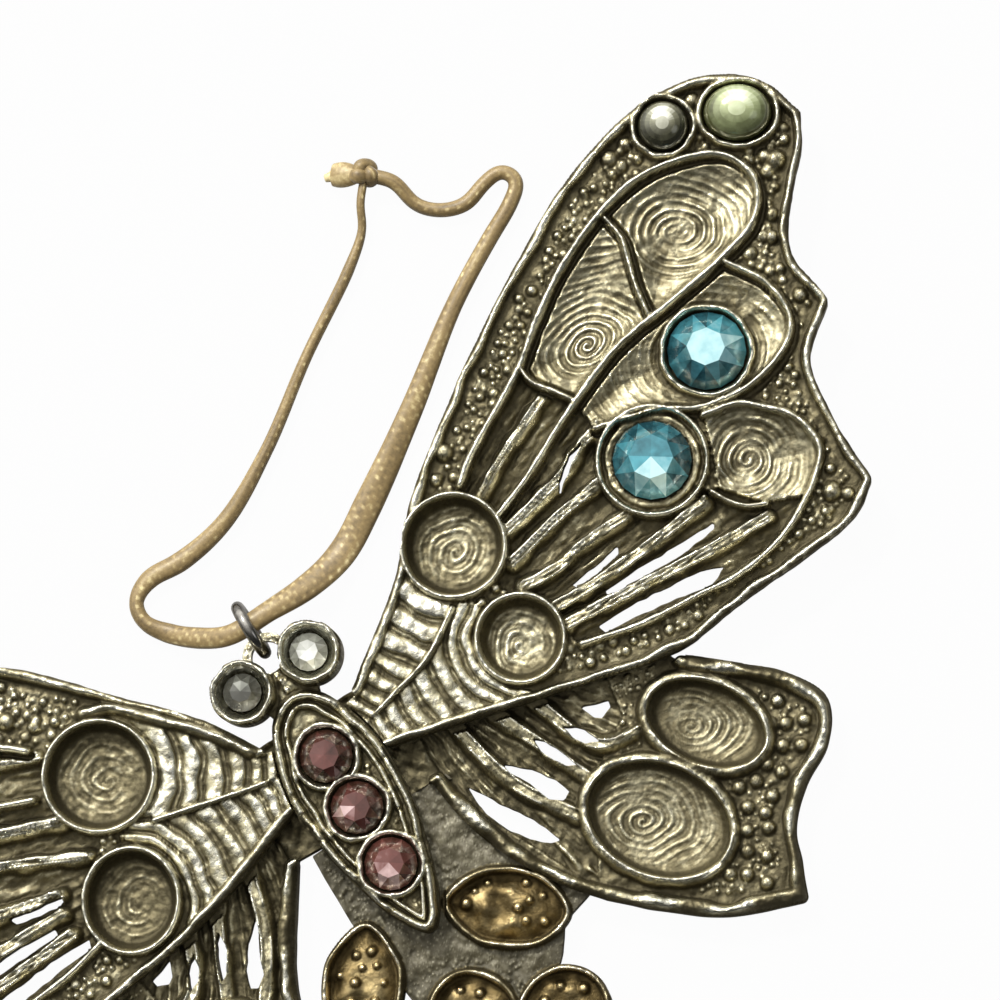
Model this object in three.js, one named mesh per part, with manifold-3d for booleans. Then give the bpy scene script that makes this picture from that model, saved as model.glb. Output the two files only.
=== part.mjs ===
// Hanging winged-insect ornament: pierced wire-bordered castings soldered in two layers,
// set with flat-back stones and hung by a jump ring on a knotted satin cord.
// Millimetres. It lies on its flat back, with +Z out of the front and +Y towards the head.
import * as THREE from 'three';
import { mergeVertices } from 'three/addons/utils/BufferGeometryUtils.js';
import Module from 'manifold-3d';

const wasm = await Module();
wasm.setup();

// Casting thicknesses
const LOWER_PLATE = 1.2;
const UPPER_PLATE = 1.0;
const BODY_SLAB = 1.2;
const HEAD_SLAB = 1.4;

// Wire borders, veins and cells
const RIM_WIDTH = 0.9;
const RIM_HEIGHT = 0.8;
const BODY_RIM_WIDTH = 0.6;
const BODY_RIM_HEIGHT = 0.6;
const VEIN_WIDTH = 0.6;
const VEIN_HEIGHT = 0.6;
const CELL_DEPTH = 0.45;
const RIDGE_WIDTH = 0.7;
const RIDGE_HEIGHT = 0.35;

// Gaps between castings that lie side by side, and round each stone
const SOLDER_GAP = 0.3;
const STONE_CLEARANCE = 0.1;

// Flat-back stones: diameters and heights
const EYE_DIAMETER = 2.8;
const EYE_HEIGHT = 1.2;
const ROSE_DIAMETER = 3.1;
const ROSE_HEIGHT = 1.5;
const BLUE_DIAMETER = 4.6;
const BLUE_HEIGHT = 2.0;
const GREEN_LENGTH = 4.0;
const GREEN_WIDTH = 3.4;
const GREEN_HEIGHT = 1.6;
const SMOKY_DIAMETER = 3.0;
const SMOKY_HEIGHT = 1.3;
const STONE_GIRDLE = 0.35;
const STONE_TABLE = 0.55;

// Collets
const COLLET_WALL = 0.35;
const COLLET_HEIGHT = 0.9;
const EYE_COLLET_HEIGHT = 1.4;

// Places on the castings
const EYE_SPREAD = 2.2;
const EYE_STATION = 7.8;
const ROSE_STATIONS = [2.25, -1.15, -4.85];
const BLUE_PLACES = [[30.3, 10.6], [24.4, 6.9]];
const BLUE_RING_RADIUS = 3.1;
const GREEN_FROM_TIP = [-2.65, 1.8];
const GREEN_TURN = -31.6;
const SMOKY_FROM_GREEN = [-4, 1.6];

// Jump ring, its lug and the cord
const RING_MEAN_RADIUS = 1.5;
const RING_WIRE = 0.72;
const RING_PLAY = 0.2;
const FLOOR_CLEARANCE = 0.1;
const LUG_END = 10.25;
const LUG_THICKNESS = 0.7;
const LUG_STRIP = 0.45;
const LUG_WALL = 0.5;
const CORD_DIAMETER = 1.2;
const CORD_PLAY = 0.15;
const CORD_REST = 0.05;
const CORD_LIFT = 0.3;
const KNOT_PLACE = [19.1, 30.2];
const KNOT_LENGTH = 3.2;
const KNOT_WIDTH = 2.6;
const KNOT_GAP = 0.3;
const STUB_REACH = 2.3;

// Centre lines of the forewing's border, root to tip and back
const FORE_LEAD = [[3.5, 4.5], [8.8, 8.6], [11.7, 11.8], [20.6, 18.3], [29.4, 23.1],
  [35.4, 24.4], [39, 23.6], [40.95, 21.8], [41.65, 19.6]];
const FORE_TIP = [[41.65, 19.6], [40.75, 18], [39.2, 16.4], [37, 13.1], [37.3, 9.6]];
const FORE_LOBE = [[37.3, 9.6], [34.75, 7.4], [33.95, 3.5], [34, -0.35]];
const FORE_TRAIL = [[34, -0.35], [32.4, -1.4], [24.1, -2.25], [20.3, -2.65], [14.1, -1.35],
  [3.4, 1.3]];

// Front and back lines of the left forewing, which is broader at its root
const LEFT_LEAD = [[3.3, 4.4], [5.2, 7.4], [8.7, 11.2], [13.4, 16], [21, 20.2], [29.4, 23.4],
  ...FORE_LEAD.slice(-4)];
const LEFT_TRAIL = [...FORE_TRAIL.slice(0, 2), [24.1, -2.4], [20.3, -2.9], [10.5, -1.6], [3.4, 0.9]];

// Centre lines of the hindwing's border; the inner edge differs from side to side
const HIND_OUTER = [[19.8, -3.6], [21.75, -5.2], [24.35, -7.65], [25.35, -9.6], [24.2, -11.5],
  [21.85, -12.9], [20.1, -14.7], [19.35, -16.5], [18.65, -18.3]];
const HIND_LOWER = [[18.65, -18.3], [14.7, -16.75], [12.2, -14.95], [9.5, -12.5]];
const HIND_INNER_RIGHT = [[9.5, -12.5], [7.75, -10.4], [6.1, -7.5], [5.15, -4.9], [4.7, -2]];
const HIND_INNER_LEFT = [[9.5, -12.5], [9.3, -10], [8.6, -7.6], [7.1, -5], [5, -1.8]];
const HIND_PAD = [[4, 4.8], [8, 3.4], [15, 0.4], [19, -2]];
const PAD_FRONT = 4.8;
const PAD_BACK = -1.9;

// Cells of the forewing: three raised loops and three rings
const LOOP_TIP = [[29.3, 20.1], [33.4, 21], [36.9, 19.9], [37.8, 17.9], [36.2, 15.6],
  [32.5, 14.6], [28.9, 14.4], [29.1, 17.2]];
const LOOP_MIDDLE = [[28.8, 19.6], [25.8, 18.9], [22.6, 16.8], [20.9, 14.9], [22.2, 12.6],
  [25.2, 13.1], [28.2, 14.4], [28.7, 17.2]];
const LOOP_STONE = [[33.9, 13.1], [35.1, 11.2], [34.6, 9], [31.8, 7.6], [28.2, 8.1],
  [25, 9.6], [22.8, 10.4], [25, 11.9], [29.5, 13.2]];
const LOOP_LOWER = [[29.6, 7.1], [31.8, 5.5], [32.4, 3.2], [31.1, 1.2], [28.7, 1.3],
  [27.2, 3.1], [27.5, 6]];
const RING_UPPER = { place: [12.3, 8.7], radii: [3, 3], turn: 0 };
const RING_INNER = { place: [12.8, 2.2], radii: [2.5, 2.5], turn: 0 };
const LEFT_RING_UPPER = { place: [11.6, 8.1], radii: [3.15, 3.15], turn: 0 };
const LEFT_RING_INNER = { place: [13.6, 1.1], radii: [2.95, 2.7], turn: 120 };
const OVAL_OUTER = { place: [19.2, -7.3], radii: [3.6, 2.4], turn: -54 };
const OVAL_INNER = { place: [14.1, -10.5], radii: [4.3, 3.2], turn: -54 };

// Veins of the forewing and ribs of the hindwing
const FORE_VEINS = [
  [[20.9, 15], [15.5, 12.4], [14.2, 11.3]],
  [[21.6, 13.4], [17, 11.4], [15, 10.2]],
  [[22.3, 12.4], [18, 9.9], [15.2, 8.9]],
  [[22.9, 10.3], [18.6, 8.6], [15.2, 7.7]],
  [[21.6, 6.9], [15.4, 6.3], [14.6, 6.6]],
  [[21.7, 5.2], [16.6, 4.5], [14.2, 4.3]],
  [[25.7, 3.9], [21, 2.9], [15.2, 2.6]],
  [[28.6, 0.9], [20.7, 1], [15.1, 1.4]],
  [[30.8, 0.9], [28.2, -0.7], [25.1, -1.2], [20, -0.8], [14.6, 0.2]],
];
const MID_VEIN = [[10.2, 5.5], [7.7, 4], [5.2, 3.3], [3.7, 2.9]];
const LEFT_MID_VEIN = [[9.8, 4.4], [7.7, 3.7], [5.2, 3.1], [3.7, 2.8]];
const HIND_RIBS = [
  [[11.2, 0], [13.4, -5.1], [15.6, -5.6]],
  [[8.9, 0.4], [11.5, -5.4], [12.4, -7.2]],
  [[6.8, 0.9], [8.2, -4.5], [10.4, -8]],
];

// Pierced slots: two ends and a width
const FORE_SLOTS = [[21.2, 9.3, 19, 8.2, 0.4], [20.1, 3.6, 16.9, 3.4, 0.4],
  [25, 2, 18.2, 1.75, 0.6], [24.3, -0.5, 17.4, 0.25, 0.7]];
const HIND_SLOTS = [[13.9, -2.7, 14.6, -4, 0.6], [12.2, -3.2, 13, -4.9, 0.6],
  [10.2, -2.9, 11.2, -5.2, 0.6], [8.1, -3.2, 10, -6.7, 0.8]];
const INNER_SLOT = [6.2, -3.6, 8.6, -8.2, 0.85];

// Leaf-shaped body: its right side, front and tail
const BODY_SIDE = [[1.3, 5.5], [2.4, 3.2], [2.8, 0.9], [2.6, -2.4], [1.9, -5.3], [1.1, -7.6]];
const BODY_FRONT = 6.1;
const BODY_TAIL = -9;
const NECK_BACK = 4.6;
const NECK_HALF = 1.2;

// Flower spray
const WEB = [[-3.75, -2.2], [-3.75, -6.4], [-3, -12.6], [-2.4, -15.8], [3.8, -15.8], [5.6, -14],
  [6.6, -12.6], [9, -11.9], [5.2, -2.2]];
const LEAF_LENGTH = 7.4;
const LEAF_WIDTH = 4.4;
const LEAF_PLACES = [[4.2, -10.2], [-5, -9.8]];
const LEAF_TURNS = [-37, 235];
const FLOWER_PLACE = [0, -18.8];
const FLOWER_TURN = 7;
const PETAL_COUNT = 5;
const PETAL_RADII = [2.45, 2.3];
const PETAL_REACH = 4.35;
const BOSS_RADIUS = 1.7;
const BOSS_HEIGHT = 1.5;

// Facet lengths along the wires
const RIM_STEP = 3.5;
const VEIN_STEP = 4;
const LOOP_STEP = 2.6;
const RING_STEP = 1.6;
const OVAL_STEP = 1.9;
const CELL_STEP = 2.2;
const BODY_STEP = 2;
const CORD_STEP = 2;

// Merged, closed triangles as a solid that can be joined and cut
function toSolid(geometry) {
  geometry.deleteAttribute('normal');
  geometry.deleteAttribute('uv');
  const merged = mergeVertices(geometry, 1e-4);
  const corner = merged.index.array;
  const faces = [];
  for (let i = 0; i < corner.length; i += 3) {
    const [a, b, c] = [corner[i], corner[i + 1], corner[i + 2]];
    if (a !== b && b !== c && c !== a) faces.push(a, b, c);
  }
  return new wasm.Manifold(new wasm.Mesh({
    numProp: 3,
    vertProperties: new Float32Array(merged.attributes.position.array),
    triVerts: new Uint32Array(faces),
  }));
}

function toGeometry(solid) {
  const mesh = solid.getMesh();
  const geometry = new THREE.BufferGeometry();
  geometry.setAttribute('position', new THREE.BufferAttribute(mesh.vertProperties, 3));
  geometry.setIndex(new THREE.BufferAttribute(mesh.triVerts, 1));
  geometry.computeVertexNormals();
  return geometry;
}

const joinAll = (solids) => solids.reduce((sum, next) => sum.add(next));

const curveThrough = (points, closed = false) => new THREE.CatmullRomCurve3(
  points.map(([x, y, z = 0]) => new THREE.Vector3(x, y, z)), closed);

// Closed outline from curves laid end to end
function outline(curves, spacing = RIM_STEP) {
  const points = curves.flatMap((curve) => {
    const steps = Math.max(1, Math.round(curve.getLength() / spacing));
    return curve.getSpacedPoints(steps).slice(0, -1);
  });
  return new THREE.Shape(points.map((point) => new THREE.Vector2(point.x, point.y)));
}

function prism(shape, bottom, top, curveSegments = 6) {
  const options = { depth: top - bottom, bevelEnabled: false, curveSegments };
  const geometry = new THREE.ExtrudeGeometry(shape, options);
  geometry.translate(0, 0, bottom);
  return toSolid(geometry);
}

// Raised wire along a flat curve; a closed curve gives a loop
function sweep(curve, corners, width, spacing) {
  const section = new THREE.Shape(corners.map(([x, y]) => new THREE.Vector2(x, y)));
  const steps = Math.max(2, Math.round(curve.getLength() / spacing));
  const geometry = new THREE.ExtrudeGeometry(section, { steps, bevelEnabled: false, extrudePath: curve });
  if (!curve.closed) return toSolid(geometry);
  const walls = geometry.groups[1];
  const position = geometry.attributes.position.array;
  const ring = position.slice(walls.start * 3, (walls.start + walls.count) * 3);
  closeSeam(ring, width * 0.02);
  const loop = new THREE.BufferGeometry();
  loop.setAttribute('position', new THREE.BufferAttribute(ring, 3));
  return toSolid(loop);
}

// Border wire with a crowned top
function rim(curve, width, bottom, top, spacing = RIM_STEP) {
  const crown = Math.min(width * 0.35, (top - bottom) * 0.5);
  const half = width / 2;
  return sweep(curve, [[-bottom, -half], [-top + crown, -half], [-top, -half / 2], [-top, half / 2],
    [-top + crown, half], [-bottom, half]], width, spacing);
}

// Vein that narrows to its crest
function bar(curve, width, bottom, top, spacing = LOOP_STEP, crest = 0.55) {
  const half = width / 2;
  return sweep(curve, [[-bottom, -half], [-top, -half * crest], [-top, half * crest], [-bottom, half]],
    width, spacing);
}

// The last ring of a closed sweep takes the places of its first
function closeSeam(corners, reach) {
  for (let i = 3; i < corners.length; i += 3) {
    for (let j = 0; j < i; j += 3) {
      const away = Math.hypot(corners[i] - corners[j], corners[i + 1] - corners[j + 1],
        corners[i + 2] - corners[j + 2]);
      if (away < reach) {
        corners.copyWithin(i, j, j + 3);
        break;
      }
    }
  }
}

// Rounded post that closes the corner between two border wires
function post([x, y], width, bottom, top) {
  const geometry = new THREE.CylinderGeometry(width / 2, width / 2, top - bottom, 6);
  geometry.rotateX(Math.PI / 2);
  geometry.translate(x, y, (top + bottom) / 2);
  return toSolid(geometry);
}

function revolve(profile, segments = 12) {
  const geometry = new THREE.LatheGeometry(profile.map(([r, z]) => new THREE.Vector2(r, z)), segments);
  geometry.rotateX(Math.PI / 2);
  return geometry;
}

function ellipseShape([x, y], [rx, ry], turn) {
  const shape = new THREE.Shape();
  shape.absellipse(x, y, rx, ry, 0, Math.PI * 2, false, THREE.MathUtils.degToRad(turn));
  return shape;
}

const ellipseCurve = ({ place: [x, y], radii: [rx, ry], turn }) => curveThrough(
  new THREE.EllipseCurve(x, y, rx, ry, 0, Math.PI * 2, false, THREE.MathUtils.degToRad(turn))
    .getPoints(12).slice(0, -1).map((point) => [point.x, point.y]), true);

// Pierced slot with round ends
function slotShape([x1, y1, x2, y2, width]) {
  const angle = Math.atan2(y2 - y1, x2 - x1);
  const shape = new THREE.Shape();
  shape.absarc(x1, y1, width / 2, angle + Math.PI / 2, angle + Math.PI * 1.5, false);
  shape.absarc(x2, y2, width / 2, angle - Math.PI / 2, angle + Math.PI / 2, false);
  return shape;
}

// A stone: its seat, its collet and its own faceted solid
function stone(place, [rx, ry], turn, deck, height, colletHeight) {
  return { place, rx, ry, turn, deck, height, colletHeight };
}

function placed(geometry, { place: [x, y], rx, ry, turn }) {
  geometry.scale(1, ry / rx, 1);
  geometry.rotateZ(THREE.MathUtils.degToRad(turn));
  geometry.translate(x, y, 0);
  return geometry;
}

function colletSolid(gem, bottom) {
  const outer = gem.rx + STONE_CLEARANCE + COLLET_WALL;
  const top = gem.deck + gem.colletHeight;
  const lip = COLLET_WALL * 0.4;
  return toSolid(placed(revolve([[0, bottom], [outer, bottom], [outer, top - lip],
    [outer - lip, top], [0, top]]), gem));
}

function seatSolid(gem) {
  const radius = gem.rx + STONE_CLEARANCE;
  const high = gem.deck + gem.height + gem.colletHeight;
  return toSolid(placed(revolve([[0, gem.deck], [radius, gem.deck], [radius, high], [0, high]]), gem));
}

function stoneGeometry(gem) {
  const table = gem.deck + gem.height;
  const girdle = gem.deck + STONE_GIRDLE;
  return placed(revolve([[0, gem.deck], [gem.rx, gem.deck], [gem.rx, girdle],
    [gem.rx * STONE_TABLE, table], [0, table]]), gem);
}

// Leaf-shaped outline of the body, widened by grow for clearances
function bodyEdge(grow) {
  const right = BODY_SIDE.map(([x, y]) => [x + grow, y]);
  const left = BODY_SIDE.map(([x, y]) => [-x - grow, y]).reverse();
  return curveThrough([[0, BODY_FRONT + grow], ...right, [0, BODY_TAIL - grow], ...left], true);
}

// Jump ring geometry, with the lug hole that lets it swing a quarter turn each way
const ringWireRadius = RING_WIRE / 2;
const lugAxis = LUG_END - LUG_STRIP / 2;
const ringOffset = RING_MEAN_RADIUS - ringWireRadius - LUG_STRIP / 2 - RING_PLAY;
const ringLift = RING_MEAN_RADIUS + ringWireRadius + FLOOR_CLEARANCE;
const lugHoleReach = RING_MEAN_RADIUS + ringWireRadius + RING_PLAY;
const lugHoleRadius = (lugHoleReach - LUG_STRIP / 2) / 2;
const lugHoleStation = lugAxis - LUG_STRIP / 2 - lugHoleRadius;

// Levels
const upperDeck = LOWER_PLATE + UPPER_PLATE;
const bodyDeck = LOWER_PLATE + BODY_SLAB;
const headDeck = LOWER_PLATE + HEAD_SLAB;
const clearTop = upperDeck + BODY_SLAB + HEAD_SLAB + BLUE_HEIGHT;

const eyeRadii = [EYE_DIAMETER / 2, EYE_DIAMETER / 2];
const eyes = [1, -1].map((side) => stone([side * EYE_SPREAD, EYE_STATION], eyeRadii, 0, headDeck,
  EYE_HEIGHT, EYE_COLLET_HEIGHT));
const roses = ROSE_STATIONS.map((y) => stone([0, y], [ROSE_DIAMETER / 2, ROSE_DIAMETER / 2], 0,
  bodyDeck, ROSE_HEIGHT, COLLET_HEIGHT));
const blues = BLUE_PLACES.map((place) => stone(place, [BLUE_DIAMETER / 2, BLUE_DIAMETER / 2], 0,
  upperDeck, BLUE_HEIGHT, COLLET_HEIGHT));
const [tipX, tipY] = FORE_LEAD.at(-1);
const greenPlace = [tipX + GREEN_FROM_TIP[0], tipY + GREEN_FROM_TIP[1]];
const smokyPlace = [greenPlace[0] + SMOKY_FROM_GREEN[0], greenPlace[1] + SMOKY_FROM_GREEN[1]];
const green = stone(greenPlace, [GREEN_LENGTH / 2, GREEN_WIDTH / 2], GREEN_TURN, upperDeck,
  GREEN_HEIGHT, COLLET_HEIGHT);
const smoky = stone(smokyPlace, [SMOKY_DIAMETER / 2, SMOKY_DIAMETER / 2], 0, upperDeck,
  SMOKY_HEIGHT, COLLET_HEIGHT);

// Space that a casting takes up on its layer, with the solder gap round it
function clearance(edges, bottom) {
  const curves = edges.map((points) => curveThrough(points));
  const wide = RIM_WIDTH + 2 * SOLDER_GAP;
  return joinAll([prism(outline(curves), bottom, clearTop),
    ...curves.map((curve) => bar(curve, wide, bottom, clearTop, RIM_STEP, 1)),
    ...edges.map((points) => post(points[0], wide, bottom, clearTop))]);
}

const RIGHT = { edges: [FORE_LEAD, FORE_TIP, FORE_LOBE, FORE_TRAIL], rings: [RING_UPPER, RING_INNER],
  vein: MID_VEIN, inner: HIND_INNER_RIGHT, slots: [...HIND_SLOTS, INNER_SLOT] };
const LEFT = { edges: [LEFT_LEAD, FORE_TIP, FORE_LOBE, LEFT_TRAIL],
  rings: [LEFT_RING_UPPER, LEFT_RING_INNER], vein: LEFT_MID_VEIN, inner: HIND_INNER_LEFT,
  slots: HIND_SLOTS };
const hindEdges = (inner) => [HIND_OUTER, HIND_LOWER, inner];
const mirrored = (points) => points.map(([x, y]) => [-x, y]);

function forewing(hand) {
  const bottom = LOWER_PLATE;
  const rimTop = upperDeck + RIM_HEIGHT;
  const veinTop = upperDeck + VEIN_HEIGHT;
  const floor = upperDeck - CELL_DEPTH;
  const root = upperDeck - CELL_DEPTH;
  const edges = hand.edges.map((points) => curveThrough(points));
  const loops = [LOOP_TIP, LOOP_MIDDLE, LOOP_STONE, LOOP_LOWER].map((points) => curveThrough(points, true));
  const { rings } = hand;
  const seam = [hand.edges[3].at(-1), hand.edges[0][0]].map((end) => new THREE.Vector3(...end, 0));
  let wing = prism(outline([...edges, new THREE.LineCurve3(...seam)]), bottom, upperDeck);
  for (const loop of loops) wing = wing.subtract(prism(outline([loop], LOOP_STEP), floor, clearTop));
  for (const { place, radii, turn } of rings) {
    wing = wing.subtract(prism(ellipseShape(place, radii, turn), floor, clearTop));
  }
  const wires = [
    ...edges.map((edge) => rim(edge, RIM_WIDTH, bottom, rimTop)),
    ...hand.edges.map((points) => post(points[0], RIM_WIDTH, bottom, rimTop)),
    ...loops.map((loop) => bar(loop, VEIN_WIDTH, root, veinTop)),
    ...rings.map((ring) => bar(ellipseCurve(ring), VEIN_WIDTH, root, rimTop, RING_STEP)),
    ...FORE_VEINS.map((vein) => bar(curveThrough(vein), VEIN_WIDTH, root, veinTop, VEIN_STEP)),
    bar(curveThrough(hand.vein), VEIN_WIDTH, root, veinTop),
  ];
  const [lead, , , trail] = edges;
  const middle = curveThrough(hand.vein);
  for (const step of [0.2, 0.42, 0.64, 0.86]) {
    const vein = middle.getPoint(1 - step);
    const front = lead.getPoint(step * 0.17);
    const back = trail.getPoint(1 - step * 0.15);
    for (const end of [front, back]) {
      const ridge = curveThrough([[vein.x, vein.y], [(vein.x + end.x) / 2 + 0.25, (vein.y + end.y) / 2],
        [end.x, end.y]]);
      wires.push(bar(ridge, RIDGE_WIDTH, root, upperDeck + RIDGE_HEIGHT, BODY_STEP));
    }
  }
  const [upper, inner] = rings;
  wing = joinAll([wing, ...wires, ...blues.map((gem) => colletSolid(gem, bottom)),
    colletSolid(green, bottom), colletSolid(smoky, bottom)]);
  const second = { place: BLUE_PLACES[1], radii: [BLUE_RING_RADIUS, BLUE_RING_RADIUS], turn: 0 };
  wing = wing.add(bar(ellipseCurve(second), VEIN_WIDTH, root, veinTop, OVAL_STEP));
  for (const { place, radii, turn } of [upper, inner]) {
    const bowl = radii.map((r) => r - VEIN_WIDTH / 6);
    wing = wing.subtract(prism(ellipseShape(place, bowl, turn), floor, clearTop));
  }
  for (const slot of FORE_SLOTS) wing = wing.subtract(prism(slotShape(slot), 0, clearTop, 3));
  for (const gem of [...blues, green, smoky]) wing = wing.subtract(seatSolid(gem));
  const aside = BODY_RIM_WIDTH / 2 + SOLDER_GAP;
  return wing.subtract(prism(outline([bodyEdge(aside)]), 0, clearTop));
}

function hindwing({ edges: above, inner, slots }) {
  const rimTop = LOWER_PLATE + RIM_HEIGHT;
  const veinTop = LOWER_PLATE + VEIN_HEIGHT;
  const floor = LOWER_PLATE - CELL_DEPTH;
  const edges = hindEdges(inner).map((points) => curveThrough(points));
  const ovals = [OVAL_OUTER, OVAL_INNER];
  const [start] = HIND_OUTER;
  const centre = SOLDER_GAP / 2;
  const pad = curveThrough([[centre, PAD_FRONT], ...HIND_PAD, start]);
  const seam = [[centre, PAD_BACK], [centre, PAD_FRONT]];
  const root = [[inner.at(-1), seam[0]], seam].map(([from, to]) =>
    new THREE.LineCurve3(new THREE.Vector3(...from, 0), new THREE.Vector3(...to, 0)));
  let wing = prism(outline([...edges, ...root, pad]), 0, LOWER_PLATE);
  for (const { place, radii, turn } of ovals) {
    wing = wing.subtract(prism(ellipseShape(place, radii, turn), floor, clearTop));
  }
  const wires = joinAll([
    ...edges.map((edge) => rim(edge, RIM_WIDTH, 0, rimTop)),
    ...hindEdges(inner).map((points) => post(points[0], RIM_WIDTH, 0, rimTop)),
    ...ovals.map((oval) => bar(ellipseCurve(oval), VEIN_WIDTH, floor, rimTop, OVAL_STEP)),
    ...HIND_RIBS.map((rib) => bar(curveThrough(rib), VEIN_WIDTH, floor, veinTop, VEIN_STEP)),
  ]);
  wing = wing.add(wires);
  for (const { place, radii, turn } of ovals) {
    const bowl = radii.map((r) => r - VEIN_WIDTH / 6);
    wing = wing.subtract(prism(ellipseShape(place, bowl, turn), floor, clearTop));
  }
  for (const slot of slots) wing = wing.subtract(prism(slotShape(slot), -1, clearTop, 3));
  const overhead = clearance(above, LOWER_PLATE);
  const aside = BODY_RIM_WIDTH / 2 + SOLDER_GAP;
  return wing.subtract(overhead).subtract(prism(outline([bodyEdge(aside)]), LOWER_PLATE, clearTop));
}

function body() {
  const rimTop = bodyDeck + BODY_RIM_HEIGHT;
  const edge = bodyEdge(0);
  const collets = [...roses.map((gem) => colletSolid(gem, LOWER_PLATE)),
    ...eyes.map((gem) => colletSolid(gem, LOWER_PLATE))];
  const neckTop = lugAxis - lugHoleReach;
  const neckShape = new THREE.Shape();
  neckShape.moveTo(-NECK_HALF, NECK_BACK);
  neckShape.lineTo(NECK_HALF, NECK_BACK);
  neckShape.lineTo(EYE_SPREAD, EYE_STATION);
  neckShape.lineTo(NECK_HALF / 2, neckTop);
  neckShape.lineTo(-NECK_HALF / 2, neckTop);
  neckShape.lineTo(-EYE_SPREAD, EYE_STATION);
  const neck = prism(neckShape, LOWER_PLATE, headDeck);
  let torso = joinAll([prism(outline([edge], BODY_STEP), LOWER_PLATE, bodyDeck),
    rim(edge, BODY_RIM_WIDTH, LOWER_PLATE, rimTop, BODY_STEP), neck, ...collets]);
  const channelHalf = ringWireRadius + RING_PLAY;
  torso = torso.subtract(prism(new THREE.Shape([[-channelHalf, neckTop], [channelHalf, neckTop],
    [channelHalf, LUG_END], [-channelHalf, LUG_END]].map(([x, y]) => new THREE.Vector2(x, y))),
  0, clearTop));
  const lugHalf = lugHoleRadius + LUG_WALL;
  const lug = new THREE.Shape();
  lug.moveTo(-lugHalf, EYE_STATION);
  lug.lineTo(lugHalf, EYE_STATION);
  lug.lineTo(lugHalf, lugHoleStation);
  lug.quadraticCurveTo(lugHalf, LUG_END, 0, LUG_END);
  lug.quadraticCurveTo(-lugHalf, LUG_END, -lugHalf, lugHoleStation);
  lug.holes.push(ellipseShape([0, lugHoleStation], [lugHoleRadius, lugHoleRadius], 0));
  torso = torso.add(prism(lug, ringLift - LUG_THICKNESS / 2, ringLift + LUG_THICKNESS / 2, 6));
  for (const gem of [...roses, ...eyes]) torso = torso.subtract(seatSolid(gem));
  return torso;
}

// Pointed oval for a leaf, along its own length
function leafCurve([x, y], turn, inset = 0) {
  const half = LEAF_LENGTH / 2 - inset;
  const wide = LEAF_WIDTH / 2 - inset;
  const angle = THREE.MathUtils.degToRad(turn);
  const points = [[half, 0], [half * 0.6, wide * 0.85], [-half * 0.35, wide], [-half, 0],
    [-half * 0.35, -wide], [half * 0.6, -wide * 0.85]];
  return curveThrough(points.map(([u, v]) => [x + u * Math.cos(angle) - v * Math.sin(angle),
    y + u * Math.sin(angle) + v * Math.cos(angle)]), true);
}

function flowerSpray() {
  const rimTop = LOWER_PLATE + RIM_HEIGHT;
  const floor = LOWER_PLATE - CELL_DEPTH;
  const [fx, fy] = FLOWER_PLACE;
  const petals = Array.from({ length: PETAL_COUNT }, (_, i) => {
    const angle = THREE.MathUtils.degToRad(90 + FLOWER_TURN + (i * 360) / PETAL_COUNT);
    return { place: [fx + PETAL_REACH * Math.cos(angle), fy + PETAL_REACH * Math.sin(angle)],
      radii: PETAL_RADII, turn: THREE.MathUtils.radToDeg(angle) };
  });
  const cells = (inset) => [...LEAF_PLACES.map((place, i) => leafCurve(place, LEAF_TURNS[i], inset)),
    ...petals.map((petal) => ellipseCurve({ ...petal,
      radii: petal.radii.map((r) => r + RIM_WIDTH / 2 - inset) }))];
  const webShape = new THREE.Shape(WEB.map(([x, y]) => new THREE.Vector2(x, y)));
  let spray = joinAll([prism(webShape, 0, LOWER_PLATE),
    prism(ellipseShape(FLOWER_PLACE, [PETAL_REACH, PETAL_REACH], 0), 0, LOWER_PLATE),
    ...cells(0).map((cell) => prism(outline([cell], CELL_STEP), 0, LOWER_PLATE)),
    ...cells(RIM_WIDTH / 2).map((cell) => bar(cell, RIM_WIDTH * 0.9, floor, rimTop, CELL_STEP))]);
  for (const cell of cells(RIM_WIDTH * 0.85)) {
    spray = spray.subtract(prism(outline([cell], CELL_STEP), floor, clearTop));
  }
  const bossTop = LOWER_PLATE + BOSS_HEIGHT;
  const boss = revolve([[0, floor], [BOSS_RADIUS, floor], [BOSS_RADIUS, LOWER_PLATE],
    [BOSS_RADIUS * 0.75, bossTop - 0.35], [BOSS_RADIUS * 0.35, bossTop], [0, bossTop]], 10);
  boss.translate(fx, fy, 0);
  spray = spray.add(toSolid(boss));
  const aside = BODY_RIM_WIDTH / 2 + SOLDER_GAP;
  return spray.subtract(prism(outline([bodyEdge(aside)]), LOWER_PLATE, clearTop))
    .subtract(clearance([...hindEdges(HIND_INNER_RIGHT), [HIND_INNER_RIGHT.at(-1), HIND_OUTER[0]]], -1))
    .subtract(clearance([...hindEdges(HIND_INNER_LEFT), [HIND_INNER_LEFT.at(-1), HIND_OUTER[0]]]
      .map(mirrored).map((points) => [...points].reverse()).reverse(), -1));
}

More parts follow.
